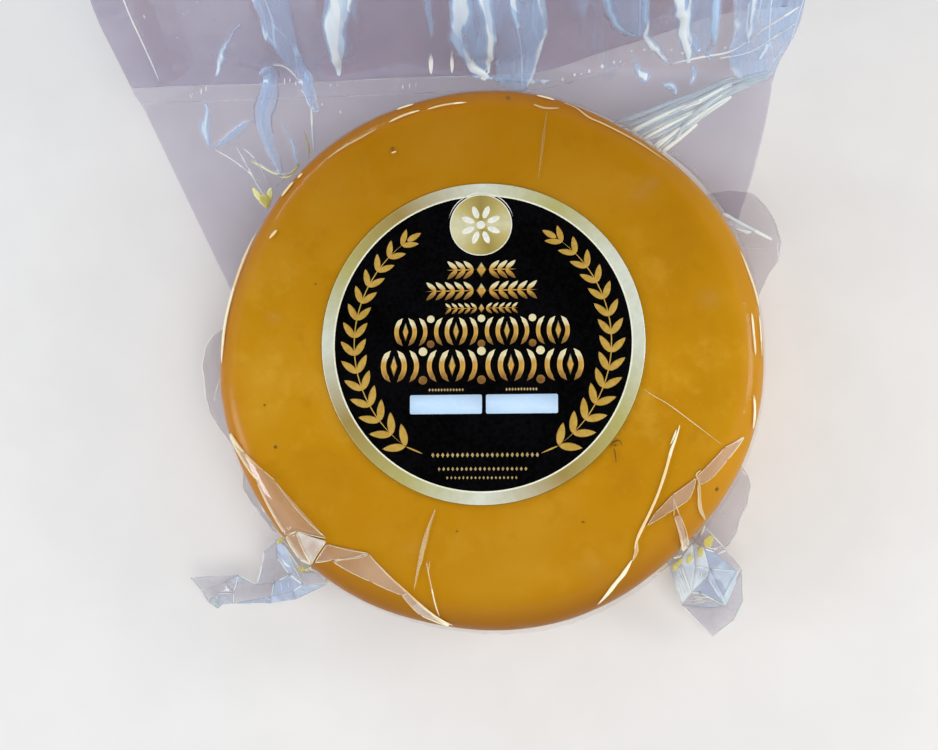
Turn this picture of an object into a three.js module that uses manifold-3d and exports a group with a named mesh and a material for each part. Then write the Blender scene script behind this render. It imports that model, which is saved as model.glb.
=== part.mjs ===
// A round wheel of smoked hard cheese, shrunk into a clear vacuum bag, with a round
// label stuck on its top. Millimetres, +Z up. The origin is the centre of the wheel's
// flat underside, and the bag's open end points to +Y.
//
// The bag clings to the cheese, so the two are one closed solid: the wheel, the seam
// that stands out round its waist, the loose film behind it with the heat seal and the
// open skirt, the side fins, the folds over the front shoulders and the two front ears.

import * as THREE from 'three';
import { ConvexGeometry } from 'three/addons/geometries/ConvexGeometry.js';
import { mergeVertices } from 'three/addons/utils/BufferGeometryUtils.js';
import Module from 'manifold-3d';

// ---------------------------------------------------------------- driving dimensions

const WHEEL_RADIUS = 77.4;        // where the wall meets the top shoulder
const WHEEL_HEIGHT = 50;
const SHOULDER_RUN = 8.4;         // how far the rounded shoulder reaches inwards
const SHOULDER_DROP = 9;          // and how far it reaches down the wall
const WALL_BULGE = 0.8;           // the wall stands out this much at mid-height
const WHEEL_SIDES = 72;
const SHOULDER_STEPS = 5;

// The pressed wheel is a little out of round: waves round it, depth, turn in degrees.
const OUT_OF_ROUND = [
  { waves: 1, depth: 0.65, turn: -60 },
  { waves: 3, depth: 0.42, turn: -24 },
  { waves: 4, depth: 0.28, turn: 54 },
  { waves: 7, depth: 0.29, turn: -148 },
];

const LABEL_DIAMETER = 90;
const LABEL_THICKNESS = 0.4;
const LABEL_CENTRE = { x: -0.2, y: 1.8 };

const SEAM_Z = 25;                // the bag's two films meet at this height
const SEAM_REACH = 16;            // the film leaves the wall this far above and below it
const SEAM_OUT_FRONT = 1.2;       // how far the seam stands out in front
const SEAM_OUT_BACK = 5.5;        // and behind, towards the heat seal

const FILM = 1.0;                 // two plies of film, modelled stout enough to be solid
const SEAL_Y = 86;                // the heat seal crosses behind the wheel here
const SKIRT_LENGTH = 52;          // open film beyond the heat seal
const SEAL_LEFT_X = -111.5;
const SEAL_RIGHT_X = 87.5;
const RIGHT_FLARE = 3;            // the curled right edge flares out by this
const TUCK_LENGTH = 78;           // film between the seal and its start inside the wheel
const LEFT_TAPER = 0.503;         // the left edge runs in by this much per millimetre
const RIGHT_TAPER = 12.3;         // the right edge has run in by this much ...
const RIGHT_TAPER_AT = 64;        // ... at this distance before the seal
const RIGHT_SHEAR = 22;           // the right end of the seal is gathered back by this
const BEND_RIGHT = 27;            // the film turns upwards this far before the seal's right end
const BEND_LEFT = 7;              // and this far before its left end
const BEND_RADIUS = 8;
const BEND_ANGLE = 1.2;           // radians: the skirt stands nearly upright
const UPRIGHT_RUN = 24;           // straight stretch above the bend
const LEAN_RADIUS = 42;           // above it the skirt leans back on this radius
const SKIRT_COLUMNS = 36;
const SKIRT_ROWS = 22;
const BEND_AT = 0.4;              // share of the sheet's rows that lie before the bend

// Long flutes of the skirt: place across it (0 left, 1 right), half width, depth.
const FLUTES = [
  { at: 0.10, width: 0.05, depth: -1.6 },
  { at: 0.21, width: 0.05, depth: 3.2 },
  { at: 0.32, width: 0.04, depth: 2.6 },
  { at: 0.44, width: 0.06, depth: -2.4 },
  { at: 0.56, width: 0.05, depth: 3.4 },
  { at: 0.69, width: 0.06, depth: -2.2 },
  { at: 0.80, width: 0.05, depth: 3.6 },
  { at: 0.90, width: 0.04, depth: -2.4 },
];
const FLUTE_START = 16;           // the flutes reach full depth this far past the seal

// Fins of flat film beside the wheel, in plan: distance from the axis and turn.
const FINS = [
  { name: 'left', z: SEAM_Z, rim: [[70, 170], [85.5, 174.5], [88.0, 178.5], [87.6, 184],
    [86.6, 190], [84.4, 193.5], [82.0, 197.5], [70, 199]] },
  { name: 'right', z: SEAM_Z, rim: [[70, 38], [91.3, 33], [93.3, 30], [94, 26.5],
    [93, 22.5], [90.5, 19], [86, 16.5], [82, 13.5], [70, 12]] },
  { name: 'front_right', z: 20, rim: [[70, -24], [84.6, -26], [86.7, -33], [87.7, -39],
    [70, -42]] },
  { name: 'front_left', z: 20, rim: [[70, 202], [80.5, 204], [84.0, 211], [85.5, 219],
    [70, 222]] },
];

// Tight facets of folded film over the two front shoulders: radius, turn, height.
const FOLDS = [
  [[74.1, 197, 50.2], [68.0, 212, 50.9], [67.9, 230.6, 50.9], [78.4, 197, 40],
    [75.6, 206, 44], [77.2, 223, 39], [66, 214, 48]],
  [[71.5, 224, 50.6], [67.9, 230.6, 50.9], [75.7, 231.4, 46], [77.6, 226, 38], [66, 228, 48]],
  [[67.9, 230.6, 50.9], [64.4, 240.6, 50.9], [69.8, 252.6, 50.6], [76.9, 264.7, 44],
    [77.4, 240, 40], [73.6, 251, 46], [64, 240, 48]],
  [[75.2, 343.6, 48.6], [67.7, 329, 50.9], [65.2, 321.2, 50.9], [66.9, 309, 50.9],
    [76.5, 340, 43.5], [74.4, 326, 45.5], [72, 316, 47], [65, 318, 48]],
];

// Crumpled ears at the bag's front corners: corner points (radius, turn, height) and
// the flat facets between them.
const LEFT_EAR = {
  corners: [[79, 219, 27], [84.5, 219, 27], [89.6, 218.8, 24], [92, 220.8, 18], [97.8, 222.7, 14],
    [99.8, 219.7, 16], [112.8, 215, 15], [112, 218.1, 13], [113.8, 220.1, 8], [112.5, 221.4, 7],
    [106.6, 222.6, 10], [98, 227.6, 9], [93.3, 229.6, 12], [83, 232.8, 18], [77, 231, 24],
    [87.4, 229.2, 21]],
  facets: [[0, 1, 15], [1, 2, 15], [2, 3, 15], [3, 4, 15], [4, 12, 15], [12, 13, 15],
    [13, 14, 15], [14, 0, 15], [4, 11, 12], [4, 5, 10], [4, 10, 11], [5, 6, 7], [5, 7, 10],
    [7, 8, 10], [8, 9, 10]],
};
const RIGHT_EAR = {
  corners: [[78, 321, 28], [84.4, 321.5, 29], [88.2, 321, 26], [95, 320, 23], [98, 318.3, 21],
    [101.9, 315.8, 17], [103.3, 313.5, 14], [104.2, 310.7, 11], [102.9, 308.2, 9],
    [96.1, 307.9, 12], [90.4, 307.7, 14], [85.7, 309, 18], [80.3, 311, 23], [76, 312, 25],
    [83.4, 317.5, 30], [97.5, 313.3, 20], [91, 312, 15]],
  facets: [[0, 1, 14], [1, 2, 14], [2, 3, 14], [3, 15, 14], [3, 4, 15], [4, 5, 15], [5, 6, 15],
    [6, 7, 15], [7, 8, 15], [8, 9, 15], [9, 16, 15], [9, 10, 16], [10, 11, 16], [11, 12, 16],
    [12, 14, 16], [14, 15, 16], [12, 13, 14], [13, 0, 14]],
};

// Standing gathers of the loose film behind the wheel: ridge ends and their half width.
const GATHERS = [
  { from: [76.0, 143.0, 41], to: [108, 129.5, 31], half: 3.5 },
  { from: [76.5, 137.5, 42], to: [101, 125.5, 31], half: 2.5 },
  { from: [75.5, 55.5, 43], to: [117, 44.2, 33], half: 3.5 },
];

const CHEESE_COLOUR = 0xb9821c;
const LABEL_COLOUR = 0x14110d;

// -------------------------------------------------------------------------- helpers

const wasm = await Module();
wasm.setup();

const radians = THREE.MathUtils.degToRad;
const smooth = (from, to, value) => THREE.MathUtils.smoothstep(value, from, to);

/** A point given by its distance from the axis, its turn in degrees and its height. */
function polar([radius, turn, z = 0]) {
  const a = radians(turn);
  return new THREE.Vector3(radius * Math.cos(a), radius * Math.sin(a), z);
}

/** Turn a closed three.js geometry into a solid that can be joined or cut. */
function toSolid(geometry) {
  const bare = geometry.clone();
  bare.deleteAttribute('normal');
  bare.deleteAttribute('uv');
  const merged = mergeVertices(bare, 1e-4);
  return new wasm.Manifold(new wasm.Mesh({
    numProp: 3,
    vertProperties: new Float32Array(merged.attributes.position.array),
    triVerts: new Uint32Array(merged.index.array),
  }));
}

/** Turn a solid back into a three.js geometry. */
function toGeometry(solid) {
  const mesh = solid.getMesh();
  const geometry = new THREE.BufferGeometry();
  geometry.setAttribute('position', new THREE.BufferAttribute(mesh.vertProperties, 3));
  geometry.setIndex(new THREE.BufferAttribute(mesh.triVerts, 1));
  geometry.computeVertexNormals();
  return geometry;
}

/** A thin sheet of the film's thickness over the surface that place(u, v) gives. */
function thinSheet(columns, rows, place) {
  const geometry = new THREE.BoxGeometry(1, 1, 1, columns, rows, 1);
  const position = geometry.attributes.position;
  const step = 1e-3;
  for (let i = 0; i < position.count; i += 1) {
    const u = position.getX(i) + 0.5;
    const v = position.getY(i) + 0.5;
    const point = place(u, v);
    const along = place(u, v + step).sub(place(u, v - step));
    const across = place(u + step, v).sub(place(u - step, v));
    const normal = across.cross(along).normalize();
    point.addScaledVector(normal, Math.sign(position.getZ(i)) * FILM / 2);
    position.setXYZ(i, point.x, point.y, point.z);
  }
  return geometry;
}

// ---------------------------------------------------------------- the cheese's wheel

/** How far the wheel's outline departs from a true circle at a turn, in radians. */
function outOfRound(turn) {
  return OUT_OF_ROUND.reduce(
    (sum, wave) => sum + wave.depth * Math.cos(wave.waves * turn - radians(wave.turn)), 0);
}

/** How far the pinched seam of the two films stands out from the wall at a turn. */
function seamOut(turn) {
  const behind = smooth(-0.1, 0.75, Math.sin(turn));
  return SEAM_OUT_FRONT + (SEAM_OUT_BACK - SEAM_OUT_FRONT) * behind;
}

/** The wheel's half section, from the axis at the bottom to the axis at the top. */
function wheelProfile() {
  const flat = WHEEL_RADIUS - SHOULDER_RUN;
  const points = [new THREE.Vector2(0, 0), new THREE.Vector2(flat, 0)];
  const shoulder = (step) => {
    const a = (step / SHOULDER_STEPS) * Math.PI / 2;
    return [flat + SHOULDER_RUN * Math.sin(a), SHOULDER_DROP * (1 - Math.cos(a))];
  };
  for (let step = 1; step <= SHOULDER_STEPS; step += 1) {
    points.push(new THREE.Vector2(...shoulder(step)));
  }
  const half = WHEEL_HEIGHT / 2;
  for (const height of [half - 8, half, half + 8]) {
    const swell = 1 - ((height - half) / (half - SHOULDER_DROP)) ** 2;
    points.push(new THREE.Vector2(WHEEL_RADIUS + WALL_BULGE * swell, height));
  }
  for (let step = SHOULDER_STEPS; step >= 1; step -= 1) {
    const [r, drop] = shoulder(step);
    points.push(new THREE.Vector2(r, WHEEL_HEIGHT - drop));
  }
  points.push(new THREE.Vector2(flat, WHEEL_HEIGHT), new THREE.Vector2(0, WHEEL_HEIGHT));
  return points;
}

/** The wheel with the film drawn tight round it and pinched out at its waist. */
function wheel() {
  const geometry = new THREE.LatheGeometry(wheelProfile(), WHEEL_SIDES);
  const position = geometry.attributes.position;
  for (let i = 0; i < position.count; i += 1) {
    const z = position.getY(i);
    const turn = Math.atan2(-position.getZ(i), position.getX(i));
    const radius = Math.hypot(position.getX(i), position.getZ(i));
    const atWaist = Math.max(0, 1 - Math.abs(z - SEAM_Z) / SEAM_REACH);
    const onWall = radius > WHEEL_RADIUS - 1 ? atWaist * seamOut(turn) : 0;
    const r = radius * (1 + outOfRound(turn) / WHEEL_RADIUS) + onWall;
    position.setXYZ(i, r * Math.cos(turn), r * Math.sin(turn), z);
  }
  return geometry;
}

// ------------------------------------------------------------- loose film and skirt

/** Height and run of the film after it has gone `run` millimetres past its bend. */
function bendAndLean(run) {
  const arc = BEND_RADIUS * BEND_ANGLE;
  if (run <= 0) return { y: run, z: 0 };
  const turn = Math.min(run, arc) / BEND_RADIUS;
  let y = BEND_RADIUS * Math.sin(turn);
  let z = BEND_RADIUS * (1 - Math.cos(turn));
  const upright = Math.min(Math.max(run - arc, 0), UPRIGHT_RUN);
  y += upright * Math.cos(BEND_ANGLE);
  z += upright * Math.sin(BEND_ANGLE);
  const lean = Math.max(run - arc - UPRIGHT_RUN, 0) / LEAN_RADIUS;
  y += LEAN_RADIUS * (Math.sin(BEND_ANGLE) - Math.sin(BEND_ANGLE - lean));
  z += LEAN_RADIUS * (Math.cos(BEND_ANGLE - lean) - Math.cos(BEND_ANGLE));
  return { y, z };
}

/** Depth of the skirt's flutes at a place across it and a distance past the seal. */
function fluteDepth(u, pastSeal) {
  const grown = smooth(0, FLUTE_START, pastSeal);
  return grown * FLUTES.reduce(
    (sum, flute) => sum + flute.depth * Math.exp(-(((u - flute.at) / flute.width) ** 2)), 0);
}

/** A point of the loose film: u across it, v from inside the wheel (0) to the mouth (1). */
function loosePoint(u, v) {
  const toRight = smooth(0.62, 0.95, u);
  const toLeft = 1 - smooth(0, 0.12, u);
  const bend = -BEND_RIGHT * toRight - BEND_LEFT * toLeft;
  const pastBend = v < BEND_AT
    ? (v / BEND_AT - 1) * (TUCK_LENGTH + bend)
    : ((v - BEND_AT) / (1 - BEND_AT)) * (SKIRT_LENGTH - bend);
  const pastSeal = pastBend + bend;
  const before = Math.max(0, -pastSeal);
  const left = SEAL_LEFT_X + LEFT_TAPER * before;
  const right = SEAL_RIGHT_X - RIGHT_TAPER * (before / RIGHT_TAPER_AT) ** 1.8
    + RIGHT_FLARE * smooth(0, BEND_RIGHT, pastBend);
  const risen = bendAndLean(pastBend);
  const y = SEAL_Y + RIGHT_SHEAR * toRight + bend + risen.y - fluteDepth(u, pastSeal);
  return new THREE.Vector3(left + (right - left) * u, y, SEAM_Z + risen.z);
}

/** Loose film from inside the wheel's back to the bag's open mouth. */
function looseFilm() {
  return thinSheet(SKIRT_COLUMNS, SKIRT_ROWS, loosePoint);
}

/** A standing gather: a thin wedge between two ridge ends, its foot in the flat film. */
function gather({ from, to, half }) {
  const start = polar(from);
  const end = polar(to);
  const side = new THREE.Vector3(start.y - end.y, end.x - start.x, 0).setLength(half);
  const corners = [start, end];
  for (const ridge of [start, end]) {
    const foot = ridge.clone().setZ(SEAM_Z);
    corners.push(foot.clone().add(side), foot.clone().sub(side));
  }
  return new ConvexGeometry(corners);
}

// --------------------------------------------------------- fins, folds and the ears

/** A flat fin of film beside the wheel, its outer edge a smooth curve. */
function fin({ z, rim }) {
  const [first, ...rest] = rim.map((corner) => polar(corner));
  const last = rest.pop();
  const outline = new THREE.Shape();
  outline.moveTo(first.x, first.y);
  outline.lineTo(rest[0].x, rest[0].y);
  outline.splineThru(rest.slice(1).map((point) => new THREE.Vector2(point.x, point.y)));
  outline.lineTo(last.x, last.y);
  const plate = new THREE.ExtrudeGeometry(
    outline, { depth: FILM, bevelEnabled: false, curveSegments: 12 });
  return plate.translate(0, 0, z - FILM / 2);
}

/** A tight facet of folded film, the hull of its corners. */
function fold(corners) {
  return new ConvexGeometry(corners.map(polar));
}

/** The facets of a crumpled ear, each a thin three-sided slab. */
function ear({ corners, facets }) {
  const points = corners.map(polar);
  const up = new THREE.Vector3(0, 0, FILM / 2);
  return facets.map((facet) => new ConvexGeometry(facet.flatMap((index) => [
    points[index].clone().add(up),
    points[index].clone().sub(up),
  ])));
}

// -------------------------------------------------------------------------- the part

const filmPieces = [
  looseFilm(),
  ...GATHERS.map(gather),
  ...FINS.map(fin),
  ...FOLDS.map(fold),
  ...ear(LEFT_EAR),
  ...ear(RIGHT_EAR),
];
const sealedBag = filmPieces.reduce(
  (solid, piece) => solid.add(toSolid(piece)), toSolid(wheel()));

const bag = new THREE.Mesh(
  toGeometry(sealedBag),
  new THREE.MeshStandardMaterial({ color: CHEESE_COLOUR, roughness: 0.25, metalness: 0 }));
bag.name = 'sealed_bag';

const labelOutline = new THREE.Shape().absarc(0, 0, LABEL_DIAMETER / 2, 0, 2 * Math.PI);
const label = new THREE.Mesh(
  new THREE.ExtrudeGeometry(
    labelOutline, { depth: LABEL_THICKNESS, bevelEnabled: false, curveSegments: 36 }),
  new THREE.MeshStandardMaterial({ color: LABEL_COLOUR, roughness: 0.4, metalness: 0.1 }));
label.name = 'label';
label.position.set(LABEL_CENTRE.x, LABEL_CENTRE.y, WHEEL_HEIGHT);

const group = new THREE.Group();
group.add(bag, label);

export default group;
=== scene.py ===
"""A vacuum-packed wheel of smoked hard cheese with a round label on top.

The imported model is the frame: its origin is the centre of the wheel's flat underside, +Z up,
and the bag's open end points to +Y. Sizes here are millimetres until a piece is finished,
which scales it to metres. The cheese and every sheet of film are pieces of their own, and
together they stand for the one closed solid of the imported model.
"""

import logging
import random
from dataclasses import dataclass, replace
from enum import Enum
from functools import cached_property
from math import atan2, copysign, cos, exp, hypot, pi, radians, sin, sqrt
from typing import Callable, Iterable, Sequence

import bmesh
import bpy
from bmesh import ops
from bmesh.types import BMesh, BMVert
from bpy.types import Material, Node, NodeSocket, Object
from mathutils import Matrix, Vector
from mathutils.noise import noise


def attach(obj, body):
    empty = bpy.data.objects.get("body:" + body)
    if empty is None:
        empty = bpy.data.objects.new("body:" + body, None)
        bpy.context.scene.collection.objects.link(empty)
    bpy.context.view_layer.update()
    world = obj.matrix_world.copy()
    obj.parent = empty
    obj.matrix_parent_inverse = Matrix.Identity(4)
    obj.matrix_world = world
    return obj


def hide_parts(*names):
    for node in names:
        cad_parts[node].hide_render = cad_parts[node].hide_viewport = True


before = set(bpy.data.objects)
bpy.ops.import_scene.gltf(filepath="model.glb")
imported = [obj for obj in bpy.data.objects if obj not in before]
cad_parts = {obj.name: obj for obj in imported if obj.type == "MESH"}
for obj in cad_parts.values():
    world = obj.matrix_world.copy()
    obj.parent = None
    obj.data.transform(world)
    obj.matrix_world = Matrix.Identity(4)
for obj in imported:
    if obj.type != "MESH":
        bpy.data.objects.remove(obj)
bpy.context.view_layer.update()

LOG = logging.getLogger("cheese_pack")
MM = 0.001
FULL_TURN = 2.0 * pi
SKIRT_WIDTH = 200.0
BODY = "root"

Colour = tuple[float, float, float]
Point = tuple[float, float]
Triple = tuple[float, float, float]
Quad = tuple[float, float, float, float]
Shading = Callable[[float, float], float] | None


class Slot(Enum):
    """The record's material slots, each with the CAD node that its pieces stand for."""

    CHEESE = ("cheese", "sealed_bag")
    FILM = ("film", "sealed_bag")
    LABEL = ("label", "label")
    GOLD = ("label_gold", "label")


# ---- small helpers


def smooth(low: float, high: float, value: float) -> float:
    """Rise from 0 at low to 1 at high with soft ends."""
    share = min(max((value - low) / (high - low), 0.0), 1.0)
    return share * share * (3.0 - 2.0 * share)


def between(start: float, end: float, share: float) -> float:
    """Mix two numbers."""
    return start + (end - start) * share


def polar(radius: float, turn: float, z: float) -> Vector:
    """A point by its distance from the axis, its turn in degrees and its height."""
    a = radians(turn)
    return Vector((radius * cos(a), radius * sin(a), z))


def along(points: Sequence[Sequence[float]], share: float) -> list[float]:
    """Follow a smooth curve through points.

    Args:
        points: Two or more points of the same length, in order.
        share: 0 at the first point and 1 at the last.

    Returns:
        The place on a Catmull-Rom curve through the points.
    """
    spans = len(points) - 1
    at = min(max(share, 0.0), 1.0) * spans
    span = min(int(at), spans - 1)
    t = at - span
    near = [points[min(max(span + step, 0), spans)] for step in (-1, 0, 1, 2)]
    return [
        0.5 * (2 * b + (c - a) * t + (2 * a - 5 * b + 4 * c - d) * t * t
               + (3 * b - a - 3 * c + d) * t ** 3)
        for a, b, c, d in zip(*near)
    ]


def woven(columns: int, rows: int, place: Callable[[float, float], Vector],
          glare: Shading = None, sky_reflection: Shading = None) -> BMesh:
    """Make a grid and move every vertex to where place puts it.

    Args:
        columns: Faces across, along u.
        rows: Faces along v.
        place: Gives the point for u and v from 0 to 1.
        glare: Gives the painted highlight of a crease or reflection there, or None for none.
        sky_reflection: Gives how far inside a painted sky reflection a place is, or None for none.

    Returns:
        The new mesh, with vertices that meet merged.
    """
    bm = bmesh.new()
    ops.create_grid(bm, x_segments=columns, y_segments=rows, size=0.5)
    layers = [(bm.verts.layers.float.new("glare"), glare),
              (bm.verts.layers.float.new("sky_reflection"), sky_reflection)]
    for vert in bm.verts:
        u, v = vert.co.x + 0.5, vert.co.y + 0.5
        for layer, value in layers:
            vert[layer] = value(u, v) if value else 0.0
        vert.co = place(u, v)
    ops.remove_doubles(bm, verts=bm.verts, dist=1e-4)
    return bm


def with_layers() -> BMesh:
    """A new mesh with both attributes that steer the film's finish."""
    bm = bmesh.new()
    bm.verts.layers.float.new("glare")
    bm.verts.layers.float.new("sky_reflection")
    return bm


def joined(parts: Iterable[BMesh]) -> BMesh:
    """Gather loose parts in one mesh and free them.

    Args:
        parts: The meshes.

    Returns:
        All of them.
    """
    whole = with_layers()
    for part in parts:
        scratch = bpy.data.meshes.new("scratch")
        part.to_mesh(scratch)
        part.free()
        whole.from_mesh(scratch)
        bpy.data.meshes.remove(scratch)
    return whole


def facet(corners: Iterable[Vector], cuts: int) -> BMesh:
    """A facet between corners, cut into small triangles.

    Args:
        corners: Its corners in order.
        cuts: How often each edge is cut.

    Returns:
        The sheet.
    """
    bm = with_layers()
    ops.contextual_create(bm, geom=[bm.verts.new(corner) for corner in corners])
    ops.triangulate(bm, faces=bm.faces)
    ops.subdivide_edges(bm, edges=bm.edges, cuts=cuts, use_grid_fill=True)
    ops.triangulate(bm, faces=bm.faces)
    return bm


def prism(segments: int, radius: float, height: float) -> tuple[BMesh, list[BMVert]]:
    """An upright prism standing on z = 0.

    Args:
        segments: The number of its sides.
        radius: From its axis to a corner.
        height: Its height.

    Returns:
        The mesh and its upper corners.
    """
    bm = bmesh.new()
    ops.create_circle(bm, cap_ends=True, segments=segments, radius=radius)
    raised = ops.extrude_face_region(bm, geom=list(bm.faces))["geom"]
    upper = [item for item in raised if isinstance(item, BMVert)]
    ops.translate(bm, verts=upper, vec=(0.0, 0.0, height))
    return bm, upper


def finish(bm: BMesh, name: str, material: Material, slot: Slot,
           sharp: bool = False, closed: bool = True) -> Object:
    """Turn a mesh in millimetres into a finished piece at the origin.

    Args:
        bm: The mesh, which is freed.
        name: The piece's name.
        material: Its finish.
        slot: The material slot whose CAD node the piece replaces.
        sharp: True for flat facets.
        closed: True to turn all faces outwards.

    Returns:
        The new object, which rides on the pack's one body and replaces the slot's node.
    """
    if closed:
        ops.recalc_face_normals(bm, faces=bm.faces)
    ops.scale(bm, vec=(MM, MM, MM), verts=bm.verts)
    for face in bm.faces:
        face.smooth = not sharp
    mesh = bpy.data.meshes.new(name)
    bm.to_mesh(mesh)
    bm.free()
    mesh.materials.append(material)
    piece = bpy.data.objects.new(name, mesh)
    bpy.context.scene.collection.objects.link(piece)
    slot_name, node = slot.value
    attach(piece, BODY)
    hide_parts(node)
    LOG.info("%s: %d faces", name, len(mesh.polygons))
    return piece


def thicken(piece: Object, thickness: float) -> None:
    """Give a sheet its thickness, half to each side.

    Args:
        piece: The sheet.
        thickness: Its thickness in millimetres.
    """
    wall = piece.modifiers.new("thickness", "SOLIDIFY")
    wall.thickness = thickness * MM
    wall.offset = 0.0
    wall.use_even_offset = False


class Tree:
    """A material's node tree, built with few words."""

    def __init__(self, name: str) -> None:
        """Start an empty material.

        Args:
            name: The material's name.
        """
        self.material = bpy.data.materials.new(name)
        self.material.use_nodes = True
        self.nodes = self.material.node_tree.nodes
        self.links = self.material.node_tree.links
        self.nodes.clear()
        self.output = self.nodes.new("ShaderNodeOutputMaterial")

    def feed(self, socket: NodeSocket, value: object) -> None:
        """Link a socket to another one, or set its plain value.

        Args:
            socket: The input.
            value: An output of another node, or a plain value.
        """
        if isinstance(value, NodeSocket):
            self.links.new(value, socket)
        elif isinstance(value, tuple) and len(value) == 3 and socket.type == "RGBA":
            socket.default_value = (*value, 1.0)
        else:
            socket.default_value = value

    def add(self, kind: str, values: dict | None = None, **settings: object) -> Node:
        """Add a shader node.

        Args:
            kind: Its type, without the word ShaderNode.
            values: What feeds its inputs, by name or number.
            **settings: Its properties.

        Returns:
            The node.
        """
        node = self.nodes.new("ShaderNode" + kind)
        for key, value in settings.items():
            setattr(node, key, value)
        for key, value in (values or {}).items():
            self.feed(node.inputs[key], value)
        return node

    def place(self) -> NodeSocket:
        """Object coordinates, in metres."""
        return self.add("TexCoord").outputs["Object"]

    def stretched(self, scale: Colour, centre: Colour = (0.0, 0.0, 0.0)) -> NodeSocket:
        """Object coordinates moved to a centre and scaled along each axis."""
        moved = self.add("Mapping", {"Vector": self.place(), "Scale": scale})
        moved.inputs["Location"].default_value = [-c * s for c, s in zip(centre, scale)]
        return moved.outputs["Vector"]

    def speckle(self, vector: NodeSocket, scale: float, detail: float = 3.0,
                rough: float = 0.5) -> NodeSocket:
        """Noise from 0 to 1 at a scale per metre."""
        values = {"Vector": vector, "Scale": scale, "Detail": detail, "Roughness": rough}
        return self.add("TexNoise", values).outputs["Fac"]

    def sum(self, kind: str, first: object, second: object = 0.0, clamp: bool = False,
            offset: float = 0.0) -> NodeSocket:
        """One step of arithmetic.

        Args:
            kind: The step's name in Blender.
            first: The first value.
            second: The second value.
            clamp: True to keep the result from 0 to 1.
            offset: The third value.

        Returns:
            The result.
        """
        node = self.add("Math", operation=kind, use_clamp=clamp)
        self.feed(node.inputs[0], first)
        self.feed(node.inputs[1], second)
        node.inputs[2].default_value = offset
        return node.outputs[0]

    def span(self, value: object, low: float, high: float, start: float = 0.0,
             end: float = 1.0) -> NodeSocket:
        """Map a range softly onto another one.

        Args:
            value: What is mapped.
            low: Where its range starts.
            high: Where its range ends.
            start: The result at low.
            end: The result at high.

        Returns:
            The result.
        """
        values = {"Value": value, "From Min": low, "From Max": high, "To Min": start,
                  "To Max": end}
        return self.add(
            "MapRange", values, interpolation_type="SMOOTHSTEP").outputs["Result"]

    def blend(self, share: object, first: object, second: object) -> NodeSocket:
        """Mix two colours."""
        node = self.add("Mix", data_type="RGBA")
        for index, value in ((0, share), (6, first), (7, second)):
            self.feed(node.inputs[index], value)
        return node.outputs[2]

    def ramp(self, value: NodeSocket, stops: Sequence[tuple[float, Colour]]) -> NodeSocket:
        """A colour ramp with the given stops.

        Args:
            value: The place on the ramp.
            stops: Places and their colours.

        Returns:
            The colour.
        """
        node = self.add("ValToRGB", {"Fac": value})
        ramp = node.color_ramp
        while len(ramp.elements) < len(stops):
            ramp.elements.new(0.5)
        for element, (position, colour) in zip(ramp.elements, stops):
            element.position = position
            element.color = (*colour, 1.0)
        return node.outputs["Color"]

    def bump(self, height: NodeSocket, depth: float, strength: float = 1.0) -> NodeSocket:
        """Fine relief of a depth in millimetres."""
        values = {"Height": height, "Distance": depth * MM, "Strength": strength}
        return self.add("Bump", values).outputs["Normal"]

    def mirrored(self, normal: NodeSocket) -> NodeSocket:
        """Share of light that a plastic surface reflects, alike from both of its sides."""
        edge = self.add("LayerWeight", {"Blend": 0.5, "Normal": normal})
        grazing = self.sum("POWER", edge.outputs["Facing"], 5.0)
        return self.sum("MULTIPLY_ADD", grazing, 0.96, offset=0.04)

    def close(self, shader: Node) -> Material:
        """Show a shader and give the finished material."""
        self.links.new(shader.outputs[0], self.output.inputs["Surface"])
        return self.material


# ---- finishes


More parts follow.
